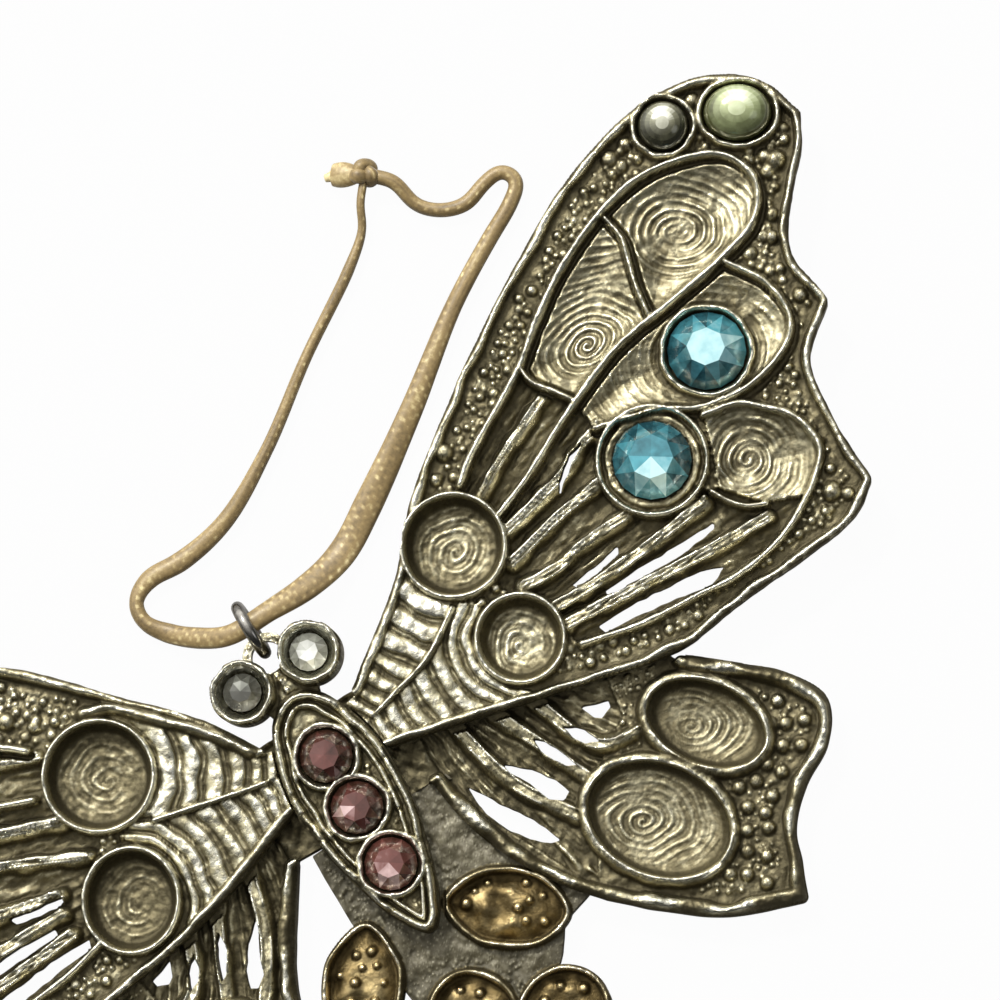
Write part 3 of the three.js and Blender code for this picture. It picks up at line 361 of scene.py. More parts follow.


# A casting's front over a square grid: its height, its tone from bright to dark, which holds painted light
# and shade, its colour from grey to amber, and the signed distance to its edge
class Relief:
    def __init__(self, low, high, step, level, tone):
        self.step = step
        self.low = low
        self.xs = np.arange(low[0], high[0] + step, step)
        self.ys = np.arange(low[1], high[1] + step, step)
        self.x, self.y = np.meshgrid(self.xs, self.ys, indexing="ij")
        self.z = np.full(self.x.shape, float(level))
        self.tone = np.full(self.x.shape, float(tone))
        self.warm = np.zeros(self.x.shape)
        self.edge = np.full(self.x.shape, 99.0)

    def window(self, low, high):
        i, j = (int((low[k] - self.low[k]) / self.step) - 1 for k in (0, 1))
        m, n = (int((high[k] - self.low[k]) / self.step) + 3 for k in (0, 1))
        return slice(max(i, 0), max(m, 0)), slice(max(j, 0), max(n, 0))

    def noise(self, size, seed):
        return noise(self.x, self.y, size, seed)

    def to_line(self, line, reach):
        far = np.full(self.x.shape, float(reach))
        for k in range(0, len(line) - 1, 8):
            part = line[k:k + 9]
            box = self.window(part.min(0) - reach, part.max(0) + reach)
            x, y, best = self.x[box], self.y[box], far[box]
            for a, b in zip(part, part[1:]):
                v = b - a
                t = np.clip(((x - a[0]) * v[0] + (y - a[1]) * v[1]) / max(v @ v, 1e-9), 0, 1)
                np.minimum(best, np.hypot(x - a[0] - t * v[0], y - a[1] - t * v[1]), out=best)
        return far

    def inside(self, points):
        line = np.array(points, float)
        odd = np.zeros(self.x.shape, bool)
        for (ax, ay), (bx, by) in zip(line, np.roll(line, -1, axis=0)):
            if ay == by:
                continue
            rows = (self.ys >= min(ay, by)) & (self.ys < max(ay, by))
            cross = ax + (self.ys[rows] - ay) / (by - ay) * (bx - ax)
            odd[:, rows] ^= self.x[:, rows] < cross
        return odd

    def signed(self, points):
        line = np.array(points, float)
        far = self.to_line(np.vstack([line, line[:1]]), REACH)
        return np.where(self.inside(line), -far, far)

    # Distances to an outline, to the border lines that are part of it, and to their wires' outer side
    def bordered(self, edges, *rest):
        middle = self.signed(np.vstack([*[line[:-1] for line in edges], *rest]))
        border = np.minimum.reduce([self.to_line(line, REACH) for line in edges])
        return middle, border, np.minimum(middle, border - RIM_WIDTH / 2)

    def local(self, x, y, turn=0.0):
        return turned(self.x - x, self.y - y, -turn)

    def level(self, where, height, tone):
        self.z = np.where(where, height, self.z)
        self.tone = np.where(where, tone, self.tone)

    def lift(self, where, height, tone):
        self.level(where, np.maximum(self.z, height), tone)

    def add(self, where, height, tone=0.0):
        self.level(where, self.z + height, self.tone + tone)

    # Border wire: a thin bright crest as a painted highlight, with its outer flank and short inner slope
    # painted dark as shade
    def rim(self, depth, width, root, top, seed, dark):
        t = depth / (width * (1 + 0.25 * self.noise(1.5, seed + 2)))
        crest = 0.55 + 0.14 * self.noise(1.1, seed + 3)
        outer = np.clip((crest - t) / 0.64, 0, 1)
        inner = np.clip((t - crest) / (1 - crest), 0, 1)
        crown = np.sqrt(1 - np.maximum(outer, inner) ** 2)
        lively = 1 + 0.08 * self.noise(0.9, seed) + 0.04 * self.noise(0.23, seed + 1)
        worn = dark * smooth(-0.3, 0.5, self.noise(1.3, seed + 4))
        tone = 0.05 + worn + 0.75 * smooth(0.12, 0.7, outer) + 0.6 * smooth(0.4, 1, inner)
        self.lift((t >= 0) & (t < 1), root + (top - root) * crown * lively, tone)

    # Raised wire along a line, painted darker toward its sides as shade, and lower and darker where it is
    # worn
    def wire(self, line, width, root, top, seed, wobble=0.2, tone=0.04, worn=0.0):
        half = width / 2 * (1 + wobble * self.noise(0.9, seed))
        crown = np.sqrt(np.clip(1 - (self.to_line(line, width) / half) ** 2, 0, 1))
        lively = 1 + 0.06 * self.noise(0.7, seed + 7) + 0.03 * self.noise(0.22, seed + 8)
        gone = worn * smooth(0.0, 0.6, self.noise(1.1, seed + 9))
        height = root + (top - gone - root) * crown * lively
        self.lift(crown > 0, height, tone + gone + 0.8 * (1 - crown) ** 1.1)

    # Groove on the shaded side of a wire, painted dark as shade
    def seam(self, line, width, level, tone):
        shade = (right - up) * 0.15
        t = smooth(width / 2, width / 4, self.to_line(line + [shade.x, shade.y], width))
        self.z = np.where(self.z > level, self.z + (level - self.z) * t, self.z)
        self.tone = self.tone + (tone - self.tone) * t

    # Granule: a dome painted darker toward its edge as shade
    def grain(self, x, y, r, root, tall=1.0):
        box = self.window((x - r, y - r), (x + r, y + r))
        d = np.hypot(self.x[box] - x, self.y[box] - y) / r
        dome = np.where(d < 1, root + tall * r * np.sqrt(np.clip(1 - d * d, 0, None)), -9)
        self.z[box] = np.maximum(self.z[box], dome)
        self.tone[box] = np.where(d < 1, 0.25 + 0.6 * d**2, self.tone[box])

    # Granules strewn over an area until no more fit
    def granules(self, where, root, seed, tries, sizes, tall=0.9):
        rng = np.random.default_rng(seed)
        cells = np.argwhere(where)
        kept = np.zeros((0, 3))
        for k in rng.integers(0, len(cells), tries):
            x, y = self.xs[cells[k, 0]], self.ys[cells[k, 1]]
            r = sizes[0] + (sizes[1] - sizes[0]) * rng.random() ** 2
            lift = 0.75 + 0.5 * rng.random()
            if len(kept) and np.any(np.hypot(kept[:, 0] - x, kept[:, 1] - y) < 0.85 * (kept[:, 2] + r)):
                continue
            kept = np.vstack([kept, (x, y, r)])
            self.grain(x, y, r, root, tall * lift)

    # Fine raised lines that wind round a centre, painted lighter on their crests and darker in the grooves
    # beside them, as light and shade
    def coil(self, where, x, y, turn, squeeze, pitch, relief, seed, hand=1):
        u, v = self.local(x, y, turn)
        u = u + 0.16 * self.noise(1.4, seed) + 0.05 * self.noise(0.5, seed + 1)
        v = (v + 0.16 * self.noise(1.4, seed + 3)) * squeeze
        out = np.hypot(u, v)
        phase = out / pitch - hand * np.arctan2(v, u) / (2 * np.pi)
        off = (phase - np.round(phase)) * pitch
        fade = np.clip(0.6 + 0.7 * self.noise(1.1, seed + 5), 0, 1)
        fade = fade * (0.35 + 0.65 * np.exp(-((out / 2.4) ** 2)))
        line = np.exp(-((off / 0.11) ** 2)) * fade
        beside = np.exp(-(((np.abs(off) - 0.18) / 0.07) ** 2)) * fade
        self.add(where, relief * (line - 0.5 * beside), 0.4 * beside - 0.22 * line)

    # Hollow floor that rises toward its walls and is painted darker near them as shade
    def dish(self, where, wall, reach, rise):
        self.add(where, rise * np.clip(1 - wall / reach, 0, 1) ** 2, 0.3 * smooth(0.55, 0.1, wall))

    # Deep round cup with a steep wall painted dark as shade
    def cup(self, ring, floor, top, wall, rise, tone):
        x, y, rx, ry, turn = ring
        u, v = self.local(x, y, turn)
        out = np.hypot(u / rx, v / ry)
        depth = (1 - out) * math.sqrt(rx * ry)
        slope = smooth(wall, 0.1, depth)
        height = floor + rise * out**2 + (top - floor - rise) * slope
        self.level(out < 1, height, tone + 0.34 * smooth(0.05, 0.5, slope))
        return (out < 1) & (depth > wall)

    # Streaks that run out from a centre
    def streaks(self, where, centre, relief, tone, seed):
        dx, dy = self.x - centre[0], self.y - centre[1]
        run, turn = np.hypot(dx, dy), np.arctan2(dy, dx) * 24
        fine = noise(run * 0.16, turn, 0.32, seed) + 0.6 * noise(run * 0.3, turn, 0.17, seed + 1)
        self.add(where, relief * fine, -tone * fine)

    # Convex bands round a centre, parted by double grooves; the bands' sides and the grooves are painted
    # darker as shade
    def bands(self, where, x, y, start, widths, level, bulge):
        rho = np.hypot(self.x - x, self.y - y) + 0.16 * self.noise(1.0, 31)
        stops = start + np.r_[0, np.cumsum(widths)]
        k = np.clip(np.searchsorted(stops, rho) - 1, 0, len(widths) - 1)
        t = np.clip((rho - stops[k]) / np.asarray(widths)[k], 0, 1)
        hump = np.sqrt(np.clip(1 - (2 * t - 1) ** 2, 0, 1))
        groove = np.exp(-((np.abs(t - 0.82) / 0.06) ** 2))
        patch = self.noise(0.75, 33) + 0.5 * self.noise(0.3, 34)
        height = level + bulge * (hump - 0.4 * groove) + 0.035 * patch
        self.level(where, height, 0.14 + 0.7 * (1 - hump) ** 1.2 + 0.5 * groove - 0.16 * patch)

    # A collet, its inner wall and the stone's seat. The collet is painted darker toward its sides as shade,
    # the inner wall takes the given tone as its painted light and shade, and the seat, seen in the gap round
    # the stone, is painted dark as shade
    def collet(self, stone, root, sink, seed, lip, tone, inside=0.8):
        x, y, rx, ry, turn, deck, _, tall = stone
        u, v = self.local(x, y, turn)
        out = (np.hypot(u, v * rx / ry) - rx) * (ry / rx) ** 0.5
        w = np.clip((out + 0.07 * self.noise(0.7, seed) - 0.24) / 0.21, -1, 1)
        top = root + (deck + tall * lip - root) * np.sqrt(1 - w * w) ** 0.7
        top -= 0.08 * (1 + self.noise(0.35, seed + 1))
        wall = deck + 0.2 + (tall * lip - 0.4) * smooth(-sink, 0.2, out)
        self.level(out < 0.22, wall, inside + 0.15 * self.noise(0.6, seed + 4))
        self.lift(np.abs(w) < 1, top, tone + 0.7 * np.abs(w) ** 2 + 0.12 * self.noise(0.4, seed + 2))
        self.level(out < -sink, deck - 0.02, 0.9)

    def trim(self, keep_off):
        self.edge = np.maximum(self.edge, keep_off)

    def rough(self, amount, size, seed):
        self.z += amount * self.noise(size, seed)

    def blurred(self, values, radius):
        n = max(1, int(radius / self.step))
        kernel = np.exp(-0.5 * (np.arange(-2 * n, 2 * n + 1) / n) ** 2)
        on = (self.edge < 0).astype(float)
        total, weight = values * on, on
        for axis in (0, 1):
            total = np.apply_along_axis(np.convolve, axis, total, kernel, "same")
            weight = np.apply_along_axis(np.convolve, axis, weight, kernel, "same")
        return total / np.maximum(weight, 1e-6)

    # Patina, and painted shade, dark where the front lies below what is round it; bright where it stands
    # proud
    def patina_and_shade(self):
        near = self.blurred(self.z, 0.2) - self.z
        wide = self.blurred(self.z, 0.8) - self.z
        dark = smooth(0.0, 0.2, near) * 0.5 + smooth(0.0, 0.5, wide) * 0.38 - smooth(0.0, 0.2, -near) * 0.2
        blotch = 0.13 * self.noise(0.5, 77) + 0.1 * self.noise(2.1, 78)
        return np.clip(dark + self.tone + blotch, 0, 1)


# Cell corners in turn, and the edge between corners, for each way the edge can cross a cell
CASES = {
    1: ["c0 e0 e3"], 2: ["c1 e1 e0"], 3: ["c0 c1 e1 e3"], 4: ["c2 e2 e1"], 5: ["c0 e0 e3", "c2 e2 e1"],
    6: ["c1 c2 e2 e0"], 7: ["c0 c1 c2 e2 e3"], 8: ["c3 e3 e2"], 9: ["c0 e0 e2 c3"],
    10: ["c1 e1 e0", "c3 e3 e2"], 11: ["c0 c1 e1 e2 c3"], 12: ["c2 c3 e3 e1"], 13: ["c0 e0 e1 c2 c3"],
    14: ["c1 c2 c3 e3 e0"], 15: ["c0 c1 c2 c3"],
}


# Smooth-shaded mesh of points in mm, with a number of flat faces at the end of the list
def fill_mesh(name, points, faces, flat=0):
    mesh = bpy.data.meshes.new(name)
    sizes = np.concatenate([np.full(len(f), f.shape[1]) for f in faces])
    corners = np.concatenate([f.ravel() for f in faces])
    mesh.vertices.add(len(points))
    mesh.vertices.foreach_set("co", (points * MM).ravel())
    mesh.loops.add(len(corners))
    mesh.loops.foreach_set("vertex_index", corners.astype(np.int32))
    mesh.polygons.add(len(sizes))
    mesh.polygons.foreach_set("loop_start", np.r_[0, np.cumsum(sizes)[:-1]].astype(np.int32))
    mesh.update(calc_edges=True)
    mesh.validate()
    shaded = np.arange(len(mesh.polygons)) < len(mesh.polygons) - flat
    mesh.polygons.foreach_set("use_smooth", shaded)
    return mesh


def paint(mesh, name, values, domain="POINT"):
    layer = mesh.attributes.new(name, "FLOAT", domain)
    layer.data.foreach_set("value", np.asarray(values, np.float32))


# Faces of a grid of points that closes round its columns, and round its rows too where it is closed
def grid_faces(rows, columns, closed=False):
    i, j = np.meshgrid(np.arange(rows if closed else rows - 1), np.arange(columns), indexing="ij")
    down, beside = (i + 1) % rows, (j + 1) % columns
    corners = ((i, j), (i, beside), (down, beside), (down, j))
    return np.column_stack([(a * columns + b).ravel() for a, b in corners])


# Points of a casting's front: those of the grid, then those where its edge crosses the grid's lines.
# A row is a point's place, patina with painted shade, and warmth. The tables give the points' rows.
def front_points(relief):
    s, on, patina_and_shade = relief.edge, relief.edge < 0, relief.patina_and_shade()
    count = on.sum()
    ids = np.full(on.shape, -1)
    ids[on] = np.arange(count)
    rows = [np.column_stack([g[on] for g in (relief.x, relief.y, relief.z, patina_and_shade, relief.warm)])]
    edge_ids = []
    whole, first, second = slice(None), slice(None, -1), slice(1, None)
    for a, b in (((first, whole), (second, whole)), ((whole, first), (whole, second))):
        cut = on[a] != on[b]
        t = (s[a] / np.where(cut, s[a] - s[b], 1))[cut]
        place = [g[a][cut] * (1 - t) + g[b][cut] * t for g in (relief.x, relief.y)]
        rest = [np.where(on[a], g[a], g[b])[cut] for g in (relief.z, patina_and_shade, relief.warm)]
        rows.append(np.column_stack(place + rest))
        table = np.full(cut.shape, -1)
        table[cut] = count + np.arange(cut.sum())
        count += cut.sum()
        edge_ids.append(table)
    return np.vstack(rows), ids, edge_ids


# Faces of the front, and the pairs of points along its edge
def front_faces(on, ids, edge_ids):
    code = on[:-1, :-1] + 2 * on[1:, :-1] + 4 * on[1:, 1:] + 8 * on[:-1, 1:]
    faces, walls = [], []
    for case, polygons in CASES.items():
        i, j = np.nonzero(code == case)
        if not len(i):
            continue
        names = {"c0": ids[i, j], "c1": ids[i + 1, j], "c2": ids[i + 1, j + 1], "c3": ids[i, j + 1],
                 "e0": edge_ids[0][i, j], "e1": edge_ids[1][i + 1, j], "e2": edge_ids[0][i, j + 1],
                 "e3": edge_ids[1][i, j]}
        for polygon in polygons:
            ring = polygon.split()
            faces.append(np.column_stack([names[k] for k in ring]))
            for a, b in zip(ring, ring[1:] + ring[:1]):
                if a[0] == "e" and b[0] == "e":
                    walls.append(np.column_stack([names[a], names[b]]))
    return faces, np.vstack(walls)


# Rounds of points along the edge
def edge_loops(walls):
    follow = dict(walls.tolist())
    loops = []
    while follow:
        k, loop = next(iter(follow)), []
        while k in follow:
            loop.append(k)
            k = follow.pop(k)
        loops.append(loop)
    return loops


# A closed casting: the relief in front, walls round its edge and a flat back
def casting(name, relief, bottom, mirror=False):
    front, ids, edge_ids = front_points(relief)
    faces, walls = front_faces(relief.edge < 0, ids, edge_ids)
    loops = edge_loops(walls)
    order = [k for loop in loops for k in loop]
    under = {k: len(front) + n for n, k in enumerate(order)}
    low = np.column_stack([front[order, :2], np.full(len(order), float(bottom))])
    points = np.vstack([front[:, :3], low])
    low_ids = np.vectorize(under.get)(walls)
    faces.append(np.column_stack([walls[:, 1], walls[:, 0], low_ids[:, 0], low_ids[:, 1]]))
    back = tessellate_polygon([[Vector((*front[k, :2], 0)) for k in loop] for loop in loops])
    back = np.array(back) + len(front)
    p = points[back]
    upward = np.cross(p[:, 1] - p[:, 0], p[:, 2] - p[:, 0])[:, 2] > 0
    back[upward] = back[upward][:, ::-1]
    faces.append(back)
    if mirror:
        points[:, 0] *= -1
        faces = [f[:, ::-1] for f in faces]
    mesh = fill_mesh(name, points, faces, len(back))
    paint(mesh, "patina_and_shade", np.r_[front[:, 3], np.full(len(low), 0.45)])
    paint(mesh, "warm", np.r_[front[:, 4], np.zeros(len(low))])
    return put(name, mesh)


def body_outline():
    other = [(-x, y) for x, y in BODY_SIDE][::-1]
    return curve([(0, BODY_TOP), *BODY_SIDE, (0, BODY_END), *other], 0.3, True)[:-1]


def fore_edges(hand):
    return [curve(points) for points in (hand["lead"], FORE_TIP, FORE_LOBE, hand["trail"])]


# Depth inside a border wire's outer side, or -1 away from the wire
def rim_depth(plate, border):
    return np.where(border < RIM_WIDTH * 0.6, RIM_WIDTH / 2 - plate, -1)


# Broad ribs with streaks between them and thin wires along them
def ribs_on(f, where, centre, ribs, root, deck, broad, streaks, wires):
    width, drop, tall, seed, wobble, tone = broad
    relief, contrast, first_streak = streaks
    for k, rib in enumerate(ribs):
        line = curve(rib)
        f.wire(line, width, root - drop, deck + tall, seed + k, wobble, tone)
        f.streaks(where, centre, relief, contrast, first_streak + k)
        for shift, thin, high, first, *look in wires:
            f.wire(line + shift, thin, root, deck + high, first + k, *look)


# Areas of a forewing: its wire cells, the ribs, the inner stone's ring, the root and the root's front half
def fore_zones(f, hand):
    big = f.inside(curve(LOOP)[:-1])
    ribs = f.inside(RIB_ZONE)
    beyond = f.inside([*curve(DIVIDER), *PAST_TIP])
    stone = f.inside([*curve(STONE_LOOP), LOOP_END[-1], *LOOP[3:6]])
    hub = f.inside(hand["hub"])
    return {
        "tip": big & beyond & ~ribs,
        "middle": big & ~beyond & ~ribs,
        "stone": stone & ~big & ~ribs,
        "lower": f.inside(LOWER_CELL),
        "ribs": ribs,
        "ring": f.inside(ellipse(*STONE_RING)[:-1]),
        "hub": hub,
        "front": hub & f.inside([*curve(hand["vein"]), *hand["front"]]),
    }


def fore_veins(hand):
    lines = [curve(points) for points in (LOOP, STONE_LOOP, DIVIDER, LOOP_END, LOWER_LOOP, hand["vein"])]
    return [*lines, ellipse(*STONE_RING), curve(CELL_FOOT)]


# Hollow cell floors with their spirals, the low floor between the ribs, and the floor of the stone's ring
def cell_floors(f, zones, veins):
    floors = np.logical_or.reduce([zones[cell] for cell in CELL_COILS])
    wall = np.minimum.reduce([f.to_line(line, 4) for line in veins])
    f.level(floors, UPPER_DECK - 0.4, tone=0.42)
    f.dish(floors, wall, reach=2.6, rise=0.85)
    for cell, coil in CELL_COILS.items():
        f.coil(zones[cell], *coil)
    f.level(zones["ribs"] & ~zones["lower"], UPPER_DECK - 0.62, tone=0.5)
    f.level(zones["ring"], UPPER_DECK - 0.05 + 0.08 * f.noise(0.3, 29), tone=0.42)


# Banded root, before the middle vein and behind it
def root_bands(f, zones, rings):
    upper, inner = rings
    behind = zones["hub"] & ~zones["front"]
    f.bands(zones["front"], *upper[:2], upper[2] + 0.15, FRONT_BANDS, level=UPPER_DECK - 0.1, bulge=0.42)
    f.bands(behind, *inner[:2], inner[2] + 0.2, REAR_BANDS, level=UPPER_DECK - 0.12, bulge=0.38)


# Granulated margin, clear of everything else on the wing
def fore_margin(f, zones, rings):
    margin = (f.edge < -0.55) & ~np.logical_or.reduce(list(zones.values()))
    for stone in WING_STONES:
        margin &= np.hypot(*f.local(*stone[:2])) > stone[2] + 0.55
    for ring in rings:
        margin &= np.hypot(*f.local(*ring[:2])) > max(ring[2:4]) + 0.3
    f.rough(0.05, 0.42, 21)
    f.add(margin, 0.09 * f.noise(0.35, 24))
    for x, y, r in FORE_GRAINS:
        f.grain(x, y, r, UPPER_DECK - 0.15)
    coarse = margin & (f.x + 0.5 * f.y > COARSE_MARGIN)
    f.granules(coarse, UPPER_DECK - 0.25, seed=22, tries=500, sizes=(0.28, 0.55), tall=1.0)
    f.granules(margin, UPPER_DECK - 0.2, seed=25, tries=1500, sizes=(0.17, 0.36), tall=1.0)


# Raised wires of the cells, with grooves painted dark as shade beside those of the upper ones, and the
# root's ridges
def fore_wires(f, veins, ridges):
    for line in veins[:4]:
        f.seam(line, width=0.95, level=UPPER_DECK - 0.35, tone=0.7)
    for k, (width, line) in enumerate(zip(VEIN_WIDTHS, veins)):
        f.wire(line, width, UPPER_ROOT, UPPER_DECK + VEIN_HEIGHT + 0.08, 40 + k)
    for k, points in enumerate(ridges):
        line = curve(points)
        crest = line + [-0.06, 0.1]
        f.wire(line, 0.85, UPPER_ROOT, UPPER_RIM_TOP - 0.05, 55 + k, tone=0.5)
        f.wire(crest, 0.3, UPPER_ROOT, UPPER_RIM_TOP + 0.02, 57 + k, wobble=0.5, tone=0.0, worn=0.2)


# Round cups at the root, with faint spirals and raised rims
def fore_cups(f, hand):
    # Each hand gives its cup floors' tones; the left wing's are painted darker as shade
    for k, (ring, tone) in enumerate(zip(hand["rings"], hand["floors"])):
        x, y = ring[:2]
        bowl = f.cup(ring, floor=UPPER_DECK - 0.8, top=UPPER_DECK + 0.25, wall=0.62, rise=0.3, tone=tone)
        f.coil(bowl, x - 0.1, y - 0.3, turn=0, squeeze=1.0, pitch=0.62, relief=0.06, seed=15 + k)
        f.add(bowl, 0.05 * f.noise(0.3, 28 + k))
        f.wire(ellipse(*ring), 0.46, UPPER_ROOT, UPPER_RIM_TOP - 0.05, 50 + k)


# Forewing: wire cells, ribs between slots, cups, collets and a granulated margin
def forewing(hand):
    f = Relief((1.6, -3.7), (42.3, 25.1), hand["step"], level=UPPER_DECK - 0.18, tone=0.58)
    plate, border, f.edge = f.bordered(fore_edges(hand), hand["root"])
    f.edge += 0.02 + 0.03 * (1 + f.noise(1.1, 5)) + 0.02 * (1 + f.noise(0.4, 4))
    veins = fore_veins(hand)
    zones = fore_zones(f, hand)
    cell_floors(f, zones, veins)
    root_bands(f, zones, hand["rings"])
    fore_margin(f, zones, hand["rings"])
    between = zones["ribs"] & ~zones["lower"]
    f.streaks(between, RIB_CENTRE, relief=0.09, tone=0.16, seed=26)
    ribs_on(f, between, RIB_CENTRE, hand["ribs"], UPPER_ROOT, UPPER_DECK, FORE_BROAD_RIB, FORE_STREAKS,
            FORE_RIB_WIRES)
    f.rim(rim_depth(plate, border), width=0.62, root=UPPER_ROOT, top=UPPER_RIM_TOP - 0.2, seed=6, dark=0.25)
    fore_wires(f, veins, hand["ridges"])
    fore_cups(f, hand)
    for k, (stone, look) in enumerate(zip(WING_STONES, COLLET_LOOKS)):
        f.collet(stone, UPPER_DECK - 0.1, WING_SINK, 90 + 3 * k, *look)
    f.rough(0.02, 0.17, 23)
    for opening in FORE_OPENINGS:
        f.trim(0.06 + 0.06 * f.noise(0.5, 9) - f.signed(opening))
    f.trim(BODY_RIM_WIDTH / 2 + 0.1 - f.signed(body_outline()))
    return f


# Oval cups with faint spirals and double rims
def hind_cups(f):
    for k, oval in enumerate(OVALS):
        x, y, rx, ry, turn = oval
        outer = ellipse(x, y, rx + 0.15, ry + 0.15, turn)
        bowl = f.cup(oval, floor=LOWER_PLATE - 0.55, top=LOWER_PLATE + 0.25, wall=0.6, rise=0.35, tone=0.5)
        f.coil(bowl, x - 0.8, y + 0.5, turn + 20, rx / ry, pitch=0.56, relief=0.1, seed=115 + k)
        f.wire(outer, 0.75, LOWER_ROOT, LOWER_RIM_TOP - 0.2, 155 + k, tone=0.45)
        f.wire(ellipse(*oval), 0.4, LOWER_ROOT, LOWER_RIM_TOP - 0.05, 150 + k, tone=0.02, worn=0.2)


# Hindwing: its root runs on under the forewing and the body, no higher than the lower plate
def hindwing(inner, openings, hand):
    f = Relief((0, -19.2), (26.2, 5.2), STEP, level=LOWER_PLATE - 0.1, tone=0.58)
    edges = [curve(points) for points in (HIND_OUTER, HIND_LOWER, inner)]
    plate, border, f.edge = f.bordered(edges, [inner[-1], PAD_CORNER], curve(HIND_PAD)[:-1])
    f.edge += 0.03 * (1 + f.noise(1.1, 105))
    ribs = f.inside(HIND_RIB_ZONE)
    near = (f.x < HIND_ROOT_END) & ~ribs
    margin = (f.edge < -RIM_WIDTH) & (f.x > HIND_MARGIN) & ~ribs
    f.level(ribs, LOWER_PLATE - 0.4, tone=0.62)
    f.rough(0.08, 0.4, 121)
    f.level(near, f.z + 0.12 * f.noise(0.5, 124), 0.76 + 0.14 * f.noise(0.7, 125))
    for x, y in HIND_GRAINS:
        f.grain(x, y, HIND_GRAIN, LOWER_PLATE - 0.08, tall=0.95)
    f.granules(margin, LOWER_PLATE - 0.12, seed=122, tries=700, sizes=(0.12, 0.22))
    f.streaks(ribs, HIND_CENTRE, relief=0.1, tone=0.16, seed=126)
    ribs_on(f, ribs, HIND_CENTRE, HIND_RIBS, LOWER_ROOT, LOWER_PLATE, HIND_BROAD_RIB, HIND_STREAKS,
            HIND_RIB_WIRES)
    f.rim(rim_depth(plate, border), width=0.95, root=LOWER_ROOT, top=LOWER_RIM_TOP, seed=106, dark=0.7)
    hind_cups(f)
    f.rough(0.02, 0.17, 123)
    for opening in openings:
        f.trim(0.03 + 0.05 * f.noise(0.5, 109) - f.signed(opening))
    # Where the forewing and the body lie over it, the hindwing is painted dark as shade
    over = f.bordered(fore_edges(hand))[2]
    over = np.minimum(over, f.signed(body_outline()) - BODY_RIM_WIDTH / 2) - SOLDER_GAP
    f.level(over < 0, np.minimum(f.z, LOWER_PLATE - 0.02), np.maximum(f.tone, 0.75))
    return f


# Double wire round the body's edge, nicked like a rope; each wire is painted darker toward its sides as
# shade, and darker in its nicks
def body_wires(f, leaf):
    root, top = BODY_DECK - 0.4, BODY_DECK + 0.6
    for k, (inset, width, tall) in enumerate(((0.32, 0.55, top), (0.9, 0.4, top - 0.12))):
        line = np.abs(leaf + inset + 0.1 * f.noise(1.1, 230 + k))
        nick = smooth(0.2, 0.8, noise(f.x * 0.6, f.y, 0.42, 232 + k))
        crown = np.sqrt(np.clip(1 - (line / (width / 2)) ** 2, 0, 1))
        tone = 0.05 + 0.65 * (1 - crown) ** 1.3 + 0.45 * nick
        f.lift(line < width / 2, root + (tall - root) * crown - 0.18 * nick, tone)


# Body: leaf with a double wire edge, deep eye collets and rose collets
def body():
    f = Relief((-4.5, -9.6), (4.5, 10.4), FINE_STEP, level=BODY_DECK - 0.15, tone=0.5)
    leaf = f.signed(body_outline()) - BODY_RIM_WIDTH / 2
    heads = [np.hypot(f.x - x, f.y - y) - rx - STONE_CLEARANCE - COLLET_WALL for x, y, rx, *_ in EYES]
    solder = (leaf > 0.1) & (np.minimum(*heads) > 0)
    f.edge = np.minimum.reduce([leaf, f.signed(NECK), *heads])
    f.edge += 0.02 * (1 + f.noise(0.8, 205))
    f.level(leaf < 0, BODY_DECK - 0.1, tone=0.3)
    f.granules((leaf < -0.9) & (f.y < 4), BODY_DECK - 0.2, seed=201, tries=300, sizes=(0.16, 0.34))
    f.level(leaf > 0, HEAD_DECK - 0.3, tone=0.22)
    f.granules(leaf > 0.1, HEAD_DECK - 0.35, seed=202, tries=200, sizes=(0.2, 0.42))
    f.rough(0.09, 0.4, 221)
    f.level(solder, f.z + 0.2 * f.noise(0.55, 223), tone=0.05)
    body_wires(f, leaf)
    for k, stone in enumerate(ROSES):
        f.collet(stone, BODY_DECK - 0.1, ROSE_SINK, 210 + 3 * k, lip=0.75, tone=0.05, inside=0.45)
    # The eyes' inner walls are painted bright as a reflection
    for k, stone in enumerate(EYES):
        f.collet(stone, HEAD_DECK - 0.6, EYE_SINK, 250 + 3 * k, lip=0.8, tone=0.02, inside=-0.1)
    f.rough(0.02, 0.15, 222)
    f.trim(np.minimum(0.56 - np.abs(f.x), f.y - NECK_END))
    return f


# Drilled lug between the eyes
def lug():
    f = Relief((-1.7, 7.4), (1.7, 10.5), FINE_STEP, level=LUG_TOP - 0.1, tone=0.25)
    x, y, r = LUG_HOLE
    half = r + LUG_WALL
    out = np.hypot(f.x - x, f.y - y)
    straight = np.maximum(np.abs(f.x) - half, np.maximum(LUG_BACK - f.y, f.y - y))
    f.edge = np.minimum(straight, out - half)
    f.trim(f.y - LUG_END)
    f.trim(r - out)
    f.granules(f.edge < -0.12, LUG_TOP - 0.12, seed=204, tries=60, sizes=(0.12, 0.2), tall=0.6)
    f.z = np.minimum(f.z, LUG_TOP)
    return f


def leaf_outline(x, y, turn):
    half, wide = LEAF_LENGTH / 2, LEAF_WIDTH / 2
    points = [(half, 0), (half * 0.6, wide * 0.85), (-half * 0.35, wide), (-half, 0), (-half * 0.35, -wide),
              (half * 0.6, -wide * 0.85)]
    return curve([np.add((x, y), turned(u, v, turn)) for u, v in points], 0.3, True)[:-1]


def petal_outlines():
    shapes = []
    radii = [radius + RIM_WIDTH / 2 - 0.1 for radius in PETAL_RADII]
    for k in range(PETAL_COUNT):
        a = math.radians(90 + FLOWER_TURN) + 2 * math.pi * k / PETAL_COUNT
        place = FLOWER[0] + PETAL_REACH * math.cos(a), FLOWER[1] + PETAL_REACH * math.sin(a)
        shapes.append(ellipse(*place, *radii, math.degrees(a))[:-1])
    return shapes


